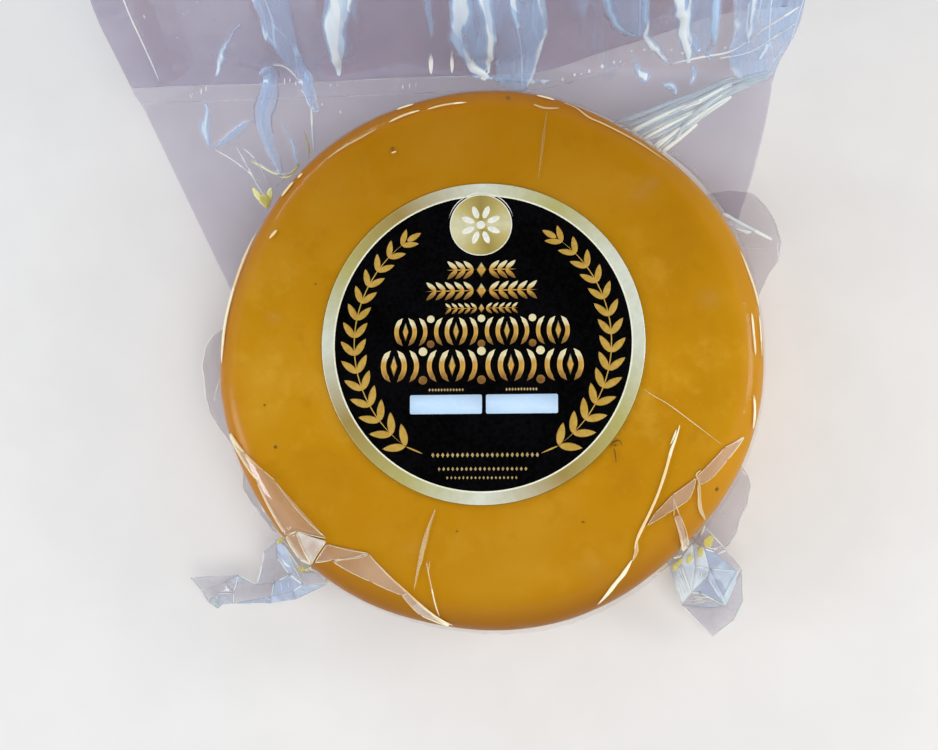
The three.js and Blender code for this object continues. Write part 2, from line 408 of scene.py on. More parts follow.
@dataclass(frozen=True)
class RindFinish:
    """Waxy ochre rind of smoked cheese, browner and more orange round the shoulder.

    The shoulder's tone is partly painted shade. Painted shade darkens the top towards the back
    and the front, and the shoulder towards the front. Painted light brightens the shoulder on
    its right.
    """

    top: Colour = (0.51, 0.245, 0.004)
    pale: Colour = (0.64, 0.36, 0.035)
    deep: Colour = (0.42, 0.185, 0.003)
    # The shoulder's tone, darkened in part as painted shade.
    shoulder: Colour = (0.51, 0.18, 0.001)
    # Painted light: the shoulder's colour on its right side.
    painted_light: Colour = (0.60, 0.27, 0.003)
    # Painted shade: the top's colour towards the back.
    painted_shade: Colour = (0.34, 0.14, 0.001)
    # Painted shade: the shoulder's colour towards the front.
    front: Colour = (0.30, 0.105, 0.002)
    shoulder_from: float = 0.066
    shoulder_to: float = 0.0775

    def build(self) -> Material:
        """Build the material.

        Returns:
            The rind, mottled by distance from the axis and by noise, with painted light and shade.
        """
        tree = Tree("cheese_rind")
        place = tree.place()
        broad, fine, tiny, blots = (tree.speckle(place, *values) for values in (
            (26.0, 3.0, 0.55), (210.0, 4.0, 0.6), (1100.0, 2.0), (75.0, 5.0, 0.65)))
        mottle = self.top
        for pattern, low, high, most, shade in (
                (broad, 0.44, 0.74, 0.6, self.pale), (broad, 0.46, 0.28, 0.6, self.deep),
                (blots, 0.52, 0.72, 0.4, self.pale), (blots, 0.46, 0.3, 0.5, self.deep),
                (fine, 0.56, 0.78, 0.28, self.deep), (tiny, 0.66, 0.78, 0.35, self.pale)):
            mottle = tree.blend(tree.span(pattern, low, high, 0.0, most), mottle, shade)
        flat = tree.add("VectorMath", {0: place, 1: (1.0, 1.0, 0.0)}, operation="MULTIPLY")
        radius = tree.add("VectorMath", {0: flat.outputs[0]}, operation="LENGTH")
        uneven = tree.sum("MULTIPLY_ADD", broad, 0.006)
        edge = tree.span(tree.sum("ADD", radius.outputs["Value"], uneven),
                         self.shoulder_from + 0.003, self.shoulder_to + 0.003, 0.0, 0.85)
        split = tree.add("SeparateXYZ", {0: place})
        y = split.outputs["Y"]
        # Painted shade: the top darkens towards the back, and a little towards the front.
        back = tree.span(tree.sum("ADD", y, uneven), -0.015, 0.08, 0.0, 0.8)
        painted_shade = tree.blend(back, mottle, self.painted_shade)
        painted_shade = tree.blend(tree.span(y, -0.005, -0.06, 0.0, 0.5), painted_shade, self.deep)
        # Painted light: the shoulder brightens towards the right.
        sides = tree.blend(tree.span(split.outputs["X"], 0.02, 0.07), self.shoulder, self.painted_light)
        # Painted shade: the shoulder darkens towards the front.
        front = tree.blend(tree.span(y, -0.03, -0.075), sides, self.front)
        colour = tree.blend(edge, painted_shade, front)
        relief = tree.sum("ADD", tree.sum("MULTIPLY", broad, 0.5), tree.sum("MULTIPLY", fine, 0.5))
        shader = tree.add("BsdfPrincipled", {
            "Base Color": colour, "Roughness": tree.span(fine, 0.3, 0.7, 0.36, 0.5),
            "Normal": tree.bump(relief, 0.25, 0.6), "Specular IOR Level": 0.12,
            "Subsurface Weight": 0.12, "Subsurface Radius": (1.0, 0.45, 0.08),
            "Subsurface Scale": 0.0025})
        return tree.close(shader)


@dataclass(frozen=True)
class FilmFinish:
    """Clear glossy film, milky where it is folded, with painted highlights and reflections.

    Two attributes of the mesh steer it. "glare" is a painted highlight on a crease or a
    reflection, white in its middle. The other is a painted reflection of the sky, a thin
    bluish ribbon, bright along its rims.
    """

    name: str
    haze: float
    glow: float
    tint: Colour = (0.975, 0.972, 0.98)
    milk: Colour = (0.50, 0.48, 0.55)
    # Colour of the halo round a painted highlight and of a painted sky reflection.
    cool: Colour = (0.54, 0.70, 0.93)
    # Colour of a painted highlight's white middle.
    shine: Colour = (0.92, 0.97, 1.0)
    halo: float = 0.2
    mist: float = 0.3
    mirror: float = 1.0
    gloss: float = 0.07
    ripple: float = 0.05
    chill: float = 1.0
    patchy: float = 1.0
    streaks: Colour = (60.0, 60.0, 60.0)

    def build(self) -> Material:
        """Build the material.

        Returns:
            A mix of see-through film, its milk and its gloss.
        """
        tree = Tree(self.name)
        stretched = tree.stretched(self.streaks)
        fibres = tree.speckle(stretched, 1.0, 4.0, 0.6)
        cells = tree.add("TexVoronoi", {"Vector": stretched, "Scale": 0.55})
        patch = tree.add("SeparateColor", {0: cells.outputs["Color"]}).outputs[0]
        patch = tree.sum("MULTIPLY_ADD", patch, self.patchy, offset=0.5 - self.patchy / 2)
        clouds = tree.speckle(tree.place(), 45.0, 3.0)
        glare, sky_reflection = (tree.add("Attribute", attribute_name=name).outputs["Fac"]
                       for name in ("glare", "sky_reflection"))
        uneven = tree.sum("SUBTRACT", tree.sum("ADD", tree.sum("MULTIPLY", fibres, 0.5),
                                               tree.sum("MULTIPLY", patch, 0.3)), 0.4)
        # Painted highlight: glare gives a white core and a halo round it.
        near = tree.span(glare, 0.02, 0.3)
        bright = tree.sum("ADD", glare, tree.sum("MULTIPLY", uneven, near))
        core = tree.span(bright, 0.45, 0.72)
        halo = tree.span(bright, 0.05, 0.6)
        # Painted sky reflection: a bluish mist with bright rims.
        ragged = tree.sum("ADD", sky_reflection, tree.sum("MULTIPLY", uneven, 0.5))
        mist = tree.sum("MULTIPLY", tree.span(ragged, 0.02, 0.25),
                        tree.span(fibres, 0.25, 0.75, 0.45, 1.35))
        mist = tree.sum("MULTIPLY", mist, tree.span(sky_reflection, 0.0, 0.06))
        mist = tree.sum("MULTIPLY", mist, tree.span(patch, 0.0, 1.0, 0.5, 1.25))
        # Painted highlight lines inside the painted sky reflections.
        folds = tree.speckle(stretched, 0.42, 2.0, 0.4)
        fold = tree.span(tree.sum("ABSOLUTE", tree.sum("SUBTRACT", folds, 0.5)), 0.03, 0.004)
        fold = tree.sum("MULTIPLY", fold, tree.span(sky_reflection, 0.12, 0.3, 0.0, 0.75))
        broken = tree.speckle(tree.place(), 95.0, 2.0)
        rim = tree.sum("MULTIPLY", tree.span(sky_reflection, 0.02, 0.1), tree.span(sky_reflection, 0.26, 0.12))
        rim = tree.sum("MULTIPLY", rim, tree.span(broken, 0.46, 0.6, 0.12, 0.85))
        core = tree.sum("MAXIMUM", tree.sum("MAXIMUM", core, rim), fold)
        cover = tree.sum("MULTIPLY", tree.span(clouds, 0.3, 0.7, 0.6, 1.4), self.haze)
        cover = tree.sum("ADD", cover, tree.sum("MULTIPLY", halo, self.halo))
        cover = tree.sum("ADD", cover, tree.sum("MULTIPLY", mist, self.mist))
        cover = tree.sum("ADD", cover, tree.sum("MULTIPLY", core, self.glow - self.halo), True)
        # The halo and the sky reflection turn the colour bluish and the highlight's core white.
        cold = tree.sum("MAXIMUM", tree.sum("MULTIPLY", halo, self.chill), mist)
        colour = tree.blend(tree.span(cold, 0.0, 0.5), self.milk, self.cool)
        white = tree.span(tree.sum("ADD", tree.sum("MULTIPLY", patch, 0.8),
                                   tree.sum("MULTIPLY", fibres, 0.6)), 0.35, 0.9)
        colour = tree.blend(tree.sum("MULTIPLY", core, white), colour, self.shine)
        normal = tree.bump(tree.speckle(tree.place(), 380.0, 2.0), self.ripple)
        clear = tree.add("BsdfTransparent", {"Color": self.tint})
        milk = tree.add("BsdfPrincipled", {
            "Base Color": colour, "Roughness": 0.35, "Normal": normal})
        body = tree.add("MixShader", {0: cover, 1: clear.outputs[0], 2: milk.outputs[0]})
        mirror = tree.add("BsdfGlossy", {
            "Color": (1.0, 1.0, 1.0), "Roughness": self.gloss, "Normal": normal})
        shown = tree.sum("MULTIPLY", tree.mirrored(normal), self.mirror)
        return tree.close(tree.add("MixShader", {
            0: shown, 1: body.outputs[0], 2: mirror.outputs[0]}))


@dataclass(frozen=True)
class PrintFinish:
    """A printed field of the label, with a little gloss and grain."""

    name: str
    colour: Colour
    other: Colour
    roughness: float = 0.4
    metallic: float = 0.0
    grain: float = 900.0
    shine: float = 0.5

    def build(self) -> Material:
        """Build the material.

        Returns:
            Two near shades mixed by fine noise.
        """
        tree = Tree(self.name)
        grain = tree.speckle(tree.place(), self.grain, 3.0)
        cloud = tree.speckle(tree.place(), 60.0, 2.0)
        share = tree.sum("ADD", tree.sum("MULTIPLY", grain, 0.6), tree.sum("MULTIPLY", cloud, 0.4))
        shader = tree.add("BsdfPrincipled", {
            "Base Color": tree.blend(tree.span(share, 0.35, 0.65), self.colour, self.other),
            "Roughness": tree.span(grain, 0.3, 0.7, self.roughness - 0.05, self.roughness + 0.07),
            "Metallic": self.metallic, "Specular IOR Level": self.shine,
            "Normal": tree.bump(grain, 0.02)})
        return tree.close(shader)


@dataclass(frozen=True)
class RingFinish:
    """Brushed gold foil whose sheen turns from gold to silvery white round the ring."""

    gold: Colour = (0.38, 0.27, 0.075)
    straw: Colour = (0.50, 0.47, 0.17)
    silver: Colour = (0.74, 0.78, 0.66)

    def build(self, centre: Colour, name: str, turns: Sequence[tuple[float, Colour]]) -> Material:
        """Build the material.

        Args:
            centre: The ring's centre in metres.
            name: The material's name.
            turns: Stops round the ring, from 0 at -X through -Y, +X and +Y to 1.

        Returns:
            Foil whose colour depends on the turn round the centre.
        """
        tree = Tree(name)
        place = tree.stretched((1.0, 1.0, 1.0), centre)
        turn = tree.add("TexGradient", {"Vector": place}, gradient_type="RADIAL")
        brushed = tree.speckle(place, 500.0, 2.0)
        colour = tree.ramp(turn.outputs["Fac"], turns)
        colour = tree.blend(tree.span(brushed, 0.35, 0.65, 0.0, 0.12), colour, self.gold)
        shader = tree.add("BsdfPrincipled", {
            "Base Color": colour, "Metallic": 0.25, "Roughness": 0.38,
            "Normal": tree.bump(brushed, 0.02)})
        return tree.close(shader)


@dataclass(frozen=True)
class FoilFinish:
    """Gold lettering foil, light at the top of each row and bronze at its foot."""

    name: str
    light: Colour = (0.88, 0.78, 0.46)
    gold: Colour = (0.66, 0.38, 0.075)
    bronze: Colour = (0.22, 0.10, 0.022)

    def build(self, foot: float, head: float) -> Material:
        """Build the material.

        Args:
            foot: Y of the row's lower edge in metres.
            head: Y of its upper edge.

        Returns:
            Foil whose shade runs down the row.
        """
        tree = Tree(self.name)
        place = tree.place()
        y = tree.add("SeparateXYZ", {0: place}).outputs["Y"]
        height = tree.span(y, foot, head)
        grain = tree.speckle(place, 700.0, 3.0)
        height = tree.sum("ADD", height, tree.sum("MULTIPLY", grain, 0.3))
        colour = tree.ramp(height, [(0.14, self.bronze), (0.5, self.gold), (0.78, self.gold),
                                    (1.0, self.light)])
        shader = tree.add("BsdfPrincipled", {
            "Base Color": colour, "Metallic": 0.3, "Roughness": 0.34,
            "Normal": tree.bump(grain, 0.02)})
        return tree.close(shader)


# ---- forms of the pack


@dataclass(frozen=True)
class WheelForm:
    """The pressed wheel: a rounded disc, a little out of round."""

    radius: float = 77.4
    height: float = 50.0
    shoulder_run: float = 8.4
    shoulder_drop: float = 9.0
    shoulder_arc: float = 13.67
    bulge: float = 0.8
    waves: tuple[tuple[int, float, float], ...] = (
        (1, 0.65, -60), (3, 0.42, -24), (4, 0.28, 54), (7, 0.29, -148))
    seam_z: float = 25.0
    seam_reach: float = 16.0
    seam_front: float = 1.2
    seam_back: float = 5.5

    @property
    def flat(self) -> float:
        """Radius of the flat top."""
        return self.radius - self.shoulder_run

    def out_of_round(self, turn: float) -> float:
        """How far the outline departs from a circle at a turn in radians."""
        return sum(depth * cos(waves * turn - radians(start))
                   for waves, depth, start in self.waves)

    def seam_out(self, turn: float) -> float:
        """How far the film's seam stands out from the wall at a turn in radians."""
        return between(self.seam_front, self.seam_back, smooth(-0.1, 0.75, sin(turn)))

    def belly(self, turn: float, z: float) -> float:
        """How far the film stands out from the plain wall at a turn in radians."""
        half = self.height / 2
        swell = 1.0 - ((z - half) / (half - self.shoulder_drop)) ** 2
        waist = max(0.0, 1.0 - abs(z - self.seam_z) / self.seam_reach)
        return max(0.0, self.bulge * swell) + waist * self.seam_out(turn)

    def along_rind(self, reach: float) -> Triple:
        """Walk from the top's centre outwards, over the shoulder and down the wall.

        Args:
            reach: The distance walked.

        Returns:
            Radius, height and the slope's angle from level, in radians.
        """
        past = reach - self.flat
        if past <= 0.0:
            return reach, self.height, 0.0
        angle = min(past / self.shoulder_arc, 1.0) * pi / 2
        down = max(past - self.shoulder_arc, 0.0)
        radius = self.flat + self.shoulder_run * sin(angle)
        height = self.height - self.shoulder_drop * (1.0 - cos(angle)) - down
        return radius, height, angle

    def place(self, turn: float, reach: float, lift: float = 0.0) -> Vector:
        """A point on the rind.

        Args:
            turn: Degrees round the axis from +X.
            reach: Distance along the rind from the top's centre.
            lift: Height above the rind.

        Returns:
            The point.
        """
        a = radians(turn)
        radius, height, slope = self.along_rind(reach)
        radius = radius * (1.0 + self.out_of_round(a) / self.radius) + lift * sin(slope)
        if height < self.height - self.shoulder_drop:
            radius += self.belly(a, height)
        return polar(radius, turn, height + lift * cos(slope))

    def normal(self, turn: float, reach: float) -> Vector:
        """The rind's outward direction at a turn in degrees and a reach."""
        a = radians(turn)
        slope = self.along_rind(reach)[2]
        return Vector((cos(a) * sin(slope), sin(a) * sin(slope), cos(slope)))

    def top_under(self, x: float, y: float) -> float:
        """Height of the rind's upper side at a place in plan."""
        a = atan2(y, x)
        radius = hypot(x, y) / (1.0 + self.out_of_round(a) / self.radius)
        past = min(max((radius - self.flat) / self.shoulder_run, 0.0), 1.0)
        return self.height - self.shoulder_drop * (1.0 - sqrt(1.0 - past * past))

    def section(self, rings: int, steps: int, inset: float) -> list[Vector]:
        """The wheel's half section, from the axis at the bottom to the axis at the top.

        Args:
            rings: Points across the flat top and underside.
            steps: Points down each shoulder and the wall.
            inset: How far inside the true surface it lies.

        Returns:
            Points in the XZ plane.
        """
        half = self.height / 2
        upper = [Vector((self.flat * ring / rings, 0.0, self.height - inset))
                 for ring in range(rings)]
        for step in range(steps + 1):
            angle = step / steps * pi / 2
            radius = self.flat + (self.shoulder_run - inset) * sin(angle)
            drop = self.shoulder_drop * (1.0 - cos(angle)) + inset * cos(angle)
            upper.append(Vector((radius, 0.0, self.height - drop)))
        wall_top = self.height - self.shoulder_drop
        for step in range(1, steps + 1):
            z = between(wall_top, half, step / steps)
            swell = 1.0 - ((z - half) / (half - self.shoulder_drop)) ** 2
            upper.append(Vector((self.radius - inset + self.bulge * swell, 0.0, z)))
        lower = [Vector((p.x, 0.0, self.height - p.z)) for p in upper[:-1]]
        return lower + upper[::-1]


@dataclass(frozen=True)
class LooseForm:
    """The loose film behind the wheel: flat to its bend, then standing up as a skirt."""

    seal_y: float = 86.0
    seam_z: float = 25.0
    skirt: float = 52.0
    tuck: float = 78.0
    overlap: float = 0.6
    halvings: int = 24
    left_x: float = -111.5
    right_x: float = 87.5
    right_flare: float = 3.0
    left_taper: float = 0.503
    right_taper: float = 12.3
    right_taper_at: float = 64.0
    right_shear: float = 22.0
    bend_right: float = 27.0
    bend_left: float = 7.0
    bend_radius: float = 8.0
    bend_angle: float = 1.2
    upright: float = 24.0
    lean_radius: float = 42.0
    flute_start: float = 16.0
    flutes: tuple[Triple, ...] = (
        (0.1, 0.05, -1.6), (0.21, 0.05, 3.2), (0.32, 0.04, 2.6), (0.44, 0.06, -2.4),
        (0.56, 0.05, 3.4), (0.69, 0.06, -2.2), (0.8, 0.05, 3.6), (0.9, 0.04, -2.4))

    def risen(self, run: float) -> tuple[float, float]:
        """Follow the film past its bend.

        Args:
            run: How far along the film.

        Returns:
            How far back and how far up that is.
        """
        if run <= 0.0:
            return run, 0.0
        arc = self.bend_radius * self.bend_angle
        turn = min(run, arc) / self.bend_radius
        y = self.bend_radius * sin(turn)
        z = self.bend_radius * (1.0 - cos(turn))
        up = min(max(run - arc, 0.0), self.upright)
        y += up * cos(self.bend_angle)
        z += up * sin(self.bend_angle)
        lean = max(run - arc - self.upright, 0.0) / self.lean_radius
        y += self.lean_radius * (sin(self.bend_angle) - sin(self.bend_angle - lean))
        z += self.lean_radius * (cos(self.bend_angle - lean) - cos(self.bend_angle))
        return y, z

    def point(self, across: float, past: float) -> Vector:
        """A point of the film's middle.

        Args:
            across: 0 at the left edge and 1 at the right one.
            past: Millimetres past the heat seal, towards the mouth.

        Returns:
            The point.
        """
        to_right = smooth(0.62, 0.95, across)
        to_left = 1.0 - smooth(0.0, 0.12, across)
        bend = -self.bend_right * to_right - self.bend_left * to_left
        before = max(0.0, -past)
        left = self.left_x + self.left_taper * before
        right = (self.right_x - self.right_taper * (before / self.right_taper_at) ** 1.8
                 + self.right_flare * smooth(0.0, self.bend_right, past - bend))
        y, z = self.risen(past - bend)
        depth = smooth(0.0, self.flute_start, past) * sum(
            deep * exp(-(((across - at) / width) ** 2))
            for at, width, deep in self.flutes)
        return Vector((between(left, right, across),
                       self.seal_y + self.right_shear * to_right + bend + y - depth,
                       self.seam_z + z))

    def normal(self, across: float, past: float) -> Vector:
        """The film's direction towards the front and up.

        Args:
            across: As in point.
            past: As in point.

        Returns:
            A direction of length 1.
        """
        step = 0.4
        share = step / SKIRT_WIDTH
        over = self.point(across + share, past) - self.point(across - share, past)
        up = self.point(across, past + step) - self.point(across, past - step)
        return over.cross(up).normalized()

    def start(self, across: float, wheel: WheelForm) -> float:
        """Find where the film meets the wheel's seam.

        Args:
            across: As in point.
            wheel: The wheel.

        Returns:
            Millimetres past the seal, below 0.
        """
        near, far = -self.tuck, 0.0
        for _ in range(self.halvings):
            middle = (near + far) / 2
            p = self.point(across, middle)
            turn = atan2(p.y, p.x)
            rim = wheel.radius + wheel.out_of_round(turn) + wheel.seam_out(turn) + wheel.bulge
            if hypot(p.x, p.y) < rim - self.overlap:
                near = middle
            else:
                far = middle
        return far


WHEEL = WheelForm()
LOOSE = LooseForm()


# ---- ridges and creases


@dataclass(frozen=True)
class Ridge:
    """A crease: its path, how wide and high it is, and how bright its painted highlight shows.

    On the wheel a path point is (degrees of turn, reach along the rind). On the loose film
    it is (share across, millimetres past the seal).
    """

    path: tuple[Point, ...]
    width: float = 0.7
    height: float = 0.45
    glare: float = 0.8
    taper: float = 0.25
    edges: float = 0.0


class Ground(Enum):
    """What a ridge lies on."""

    WHEEL = "wheel"
    LOOSE = "loose"


def ridge_mesh(ridge: Ridge, ground: Ground, seed: int = 0) -> BMesh:
    """Sweep a low tent along a ridge's path.

    Args:
        ridge: The ridge.
        ground: The surface that it lies on.
        seed: Turns the small unevenness.

    Returns:
        A closed mesh, pointed at both ends.
    """
    form = WHEEL if ground is Ground.WHEEL else LOOSE
    centres: list[Vector] = []
    ups: list[Vector] = []
    steps = max(6, 5 * (len(ridge.path) - 1))
    for step in range(steps + 1):
        at = along(ridge.path, step / steps)
        point = form.place(*at) if ground is Ground.WHEEL else form.point(*at)
        centres.append(point)
        ups.append(form.normal(*at))

    def place(u: float, v: float) -> Vector:
        """A point of the ridge, u round it and v along it."""
        index = round(v * steps)
        ahead = centres[min(index + 1, steps)] - centres[max(index - 1, 0)]
        side = ups[index].cross(ahead).normalized()
        ends = min(v, 1.0 - v)
        full = min(1.0, ends / max(ridge.taper, 1e-3)) ** 0.7
        wobble = 1.0 + 0.25 * noise(Vector((v * 7.0 + seed, seed * 3.1, 0.5)))
        a = u * FULL_TURN
        half = ridge.width / 2 * full * wobble
        high = max(sin(a), -0.25) * ridge.height * full
        return centres[index] + side * (half * cos(a)) + ups[index] * high

    def glare(u: float, v: float) -> float:
        """How bright its painted highlight shows, most along its rims."""
        rim = abs(cos(u * FULL_TURN))
        return ridge.glare + ridge.edges * (rim ** 4 - 0.5)

    return woven(8, steps, place, glare)


def ridge_meshes(ridges: Iterable[Ridge], ground: Ground, seed: int = 0) -> list[BMesh]:
    """Sweep each ridge in turn, with seeds that count up from the first one."""
    return [ridge_mesh(ridge, ground, seed + index) for index, ridge in enumerate(ridges)]


@dataclass(frozen=True)
class CreasesAndHighlights:
    """The thin creases in the film, bright with painted highlights, in one piece for each place.
    The short one beside a pit is a painted highlight of a small bump.

    A tick is a short crease across the heat seal, bright as a painted glint: its share across,
    its middle's millimetres past the seal, its length and its width.
    """

    on_wheel: tuple[Ridge, ...] = (
        Ridge(((338.2, 57), (334.4, 57.5), (330.4, 58.1), (325.5, 59.7), (320.5, 61.6),
            (312, 64.9), (308, 67), (306, 69.2)), 0.9, 0.4, 1, 0.2, 0.3),
        Ridge(((336.6, 56.6), (334.3, 56.9), (332, 57)), 0.6, 0.3, 0.5, 0.4),
        Ridge(((308.5, 66.5), (306.8, 68.8), (304.6, 70.5)), 1.2, 0.5, 0.75, 0.5, 0.4),
        Ridge(((304.9, 70), (301.5, 72), (298.6, 73.4), (293.6, 77)), 1.15, 0.5, 0.95, 0.25, 0.4),
        Ridge(((345, 44.8), (343.6, 48.1), (342.4, 52.3), (340.4, 57.9), (338.7, 63.5),
            (337.1, 69.4)), 0.32, 0.15, 0.45, 0.6),
        Ridge(((328.5, 67.7), (325.9, 69.9), (322.9, 73.4), (321.8, 78)), 1.1, 0.7, 0.7, 0.3, 0.5),
        Ridge(((330.2, 67.4), (328.8, 66.9), (328, 67.8)), 0.5, 0.4, 0.7),
        Ridge(((321.3, 65.3), (319.1, 69.8), (315.5, 80.2)), 0.4, 0.4, 0.75),
        Ridge(((318, 69), (316, 74), (314.1, 79.5)), 0.45, 0.4, 0.6),
        Ridge(((253.7, 45.2), (253.3, 51.8), (253.6, 60.1), (254.2, 68.3)), 1.5, 0.15, 0.45, 0.5,
            -0.1),
        Ridge(((253.9, 46), (253.1, 50.5), (253.6, 54)), 0.5, 0.2, 0.55, 0.5),
        Ridge(((253.2, 55), (254, 59), (253.9, 64)), 0.6, 0.2, 0.5, 0.5),
        Ridge(((113.1, 62.3), (114.7, 62.4)), 0.6, 0.3, 0.5, 0.4),
        Ridge(((255.1, 59.7), (258.2, 67.1), (260.9, 74.7)), 0.42, 0.25, 0.62),
        Ridge(((256.1, 59.5), (256.5, 63.5)), 0.4, 0.2, 0.5, 0.5),
        Ridge(((240.8, 63.7), (247, 66.6), (253, 69.5), (258.7, 73.6), (264, 77.6)), 0.55, 0.4,
            0.85),
        Ridge(((251.9, 70.5), (256.8, 74.2), (262.5, 78.2)), 0.9, 0.4, 0.5, 0.25, 0.5),
        Ridge(((74.8, 70.8), (73.7, 62), (71.7, 50.5)), 0.7, 0.15, 0.15, 0.4, 0.2),
        Ridge(((129.3, 71.7), (123.7, 71.3), (119.7, 70.9), (115, 71.1)), 0.5, 0.3, 0.42),
        Ridge(((112.3, 71.4), (108.3, 71.8), (104.4, 71.7)), 0.7, 0.3, 0.62),
        Ridge(((103, 71.3), (98.6, 71.5), (93.2, 71.2)), 0.5, 0.3, 0.55),
        Ridge(((109.5, 75.6), (107.8, 75.6), (105.5, 75.4)), 0.7, 0.3, 0.7),
        Ridge(((142.2, 75.2), (137.6, 75.1)), 1.1, 0.4, 0.95, 0.3),
        Ridge(((136.6, 74.6), (135, 74.4)), 0.9, 0.4, 0.85, 0.4),
        Ridge(((152, 70.3), (149.1, 69.4)), 0.9, 0.3, 0.9, 0.4),
        Ridge(((151.5, 78.2), (158, 77.4), (164, 76.9), (172.4, 76.5), (177.2, 76), (182.5, 76)),
            1, 0.5, 0.9, 0.2),
        Ridge(((20.7, 76.9), (16.2, 77.1), (11.5, 77.8), (8.1, 78.1)), 0.5, 0.4, 0.85),
        Ridge(((7.1, 74.1), (2.4, 73.9), (-2.3, 74.2)), 0.8, 0.3, 0.8),
        Ridge(((6.8, 77.4), (2.1, 76.9), (-2.4, 76.9)), 0.5, 0.3, 0.7),
        Ridge(((-10.4, 74.4), (-13.8, 76), (-17.3, 77.3)), 0.8, 0.4, 0.85),
        Ridge(((72, 76), (69.2, 75.7), (65.5, 73.6), (61.6, 73.7), (57.1, 74), (52.5, 74.4),
            (48.5, 74.6), (45.1, 75.1)), 0.5, 0.3, 0.6),
        Ridge(((78.2, 76.2), (76.2, 76.2), (73.9, 76)), 1, 0.3, 0.7),
        Ridge(((78.3, 71.7), (75.4, 71.3), (72.1, 72.8)), 0.7, 0.2, 0.45),
        Ridge(((219, 80), (220.5, 88), (222, 96)), 0.7, 0.5, 0.6),
        Ridge(((223, 79), (224, 88), (225, 97)), 0.8, 0.5, 0.5),
        Ridge(((231, 79), (231, 88), (231.5, 97)), 0.8, 0.5, 0.6),
        Ridge(((236, 80), (234.5, 88), (233, 98)), 0.6, 0.5, 0.7),
        Ridge(((224, 100), (223, 108), (221, 114)), 0.6, 0.5, 0.5),
        Ridge(((229, 101), (229.5, 109), (230, 116)), 0.7, 0.5, 0.5),
        Ridge(((321, 80), (320, 88), (319.5, 95)), 0.7, 0.5, 0.6),
        Ridge(((312, 80), (313, 88), (314, 95)), 0.8, 0.5, 0.7),
        Ridge(((307, 81), (309, 90), (311, 97)), 0.6, 0.5, 0.5),
        Ridge(((314, 100), (313, 108), (311, 115)), 0.7, 0.5, 0.5),
        Ridge(((318, 99), (319, 108), (321, 113)), 0.6, 0.5, 0.6),
    )
    on_loose: tuple[Ridge, ...] = (
        Ridge(((0.043, 51), (0.044, 36.9), (0.044, 17.8), (0.044, 3.9)), 0.5, 0.25, 0.95, 0.1),
        Ridge(((0.002, 2.4), (0.1, 2.5), (0.2, 2.4), (0.32, 2.5), (0.45, 2.4), (0.56, 2.5)), 0.35,
            0.2, 0.34, 0.05),
        Ridge(((0.002, -2.4), (0.1, -2.5), (0.2, -2.4), (0.32, -2.5), (0.45, -2.4), (0.58, -2.5),
            (0.7, -3), (0.78, -5)), 0.35, 0.2, 0.34, 0.05),
        Ridge(((0.83, -12), (0.88, -13.2), (0.919, -12.8), (0.954, -5), (0.996, 3.1)), 0.8, 0.4,
            0.8, 0.1),
        Ridge(((0.9, -15.5), (0.944, -14.4), (0.97, -9.1), (0.995, -3.5)), 0.7, 0.4, 0.75, 0.1),
        Ridge(((0.083, -17.9), (0.107, -21.5), (0.129, -26.2), (0.14, -30)), 0.45, 0.5, 0.75, 0.3),
        Ridge(((0.124, -16.9), (0.13, -24), (0.135, -30.4), (0.142, -35)), 0.55, 0.7, 0.9, 0.3),
        Ridge(((0.134, -18), (0.149, -22.4), (0.154, -30.5)), 0.45, 0.5, 0.7, 0.3),
        Ridge(((0.141, -21.8), (0.155, -24), (0.171, -26.2), (0.195, -26.9), (0.215, -24.4)), 0.6,
            0.6, 0.85, 0.3),
        Ridge(((0.275, -3.4), (0.263, -11.4), (0.251, -20.1)), 0.8, 0.8, 0.9, 0.3),
        Ridge(((0.205, 6.6), (0.23, 11.5), (0.25, 7.1), (0.263, 2)), 0.8, 0.6, 0.95, 0.3),
        Ridge(((0.841, -39.6), (0.87, -45.9), (0.904, -52.6), (0.935, -58.8), (0.96, -63.9)), 1.6,
            0.4, 0.4, 0.2, 0.5),
        Ridge(((0.131, -35.2), (0.151, -32.5), (0.175, -29.6), (0.198, -26.9)), 0.4, 0.3, 0.4,
            0.3),
    )
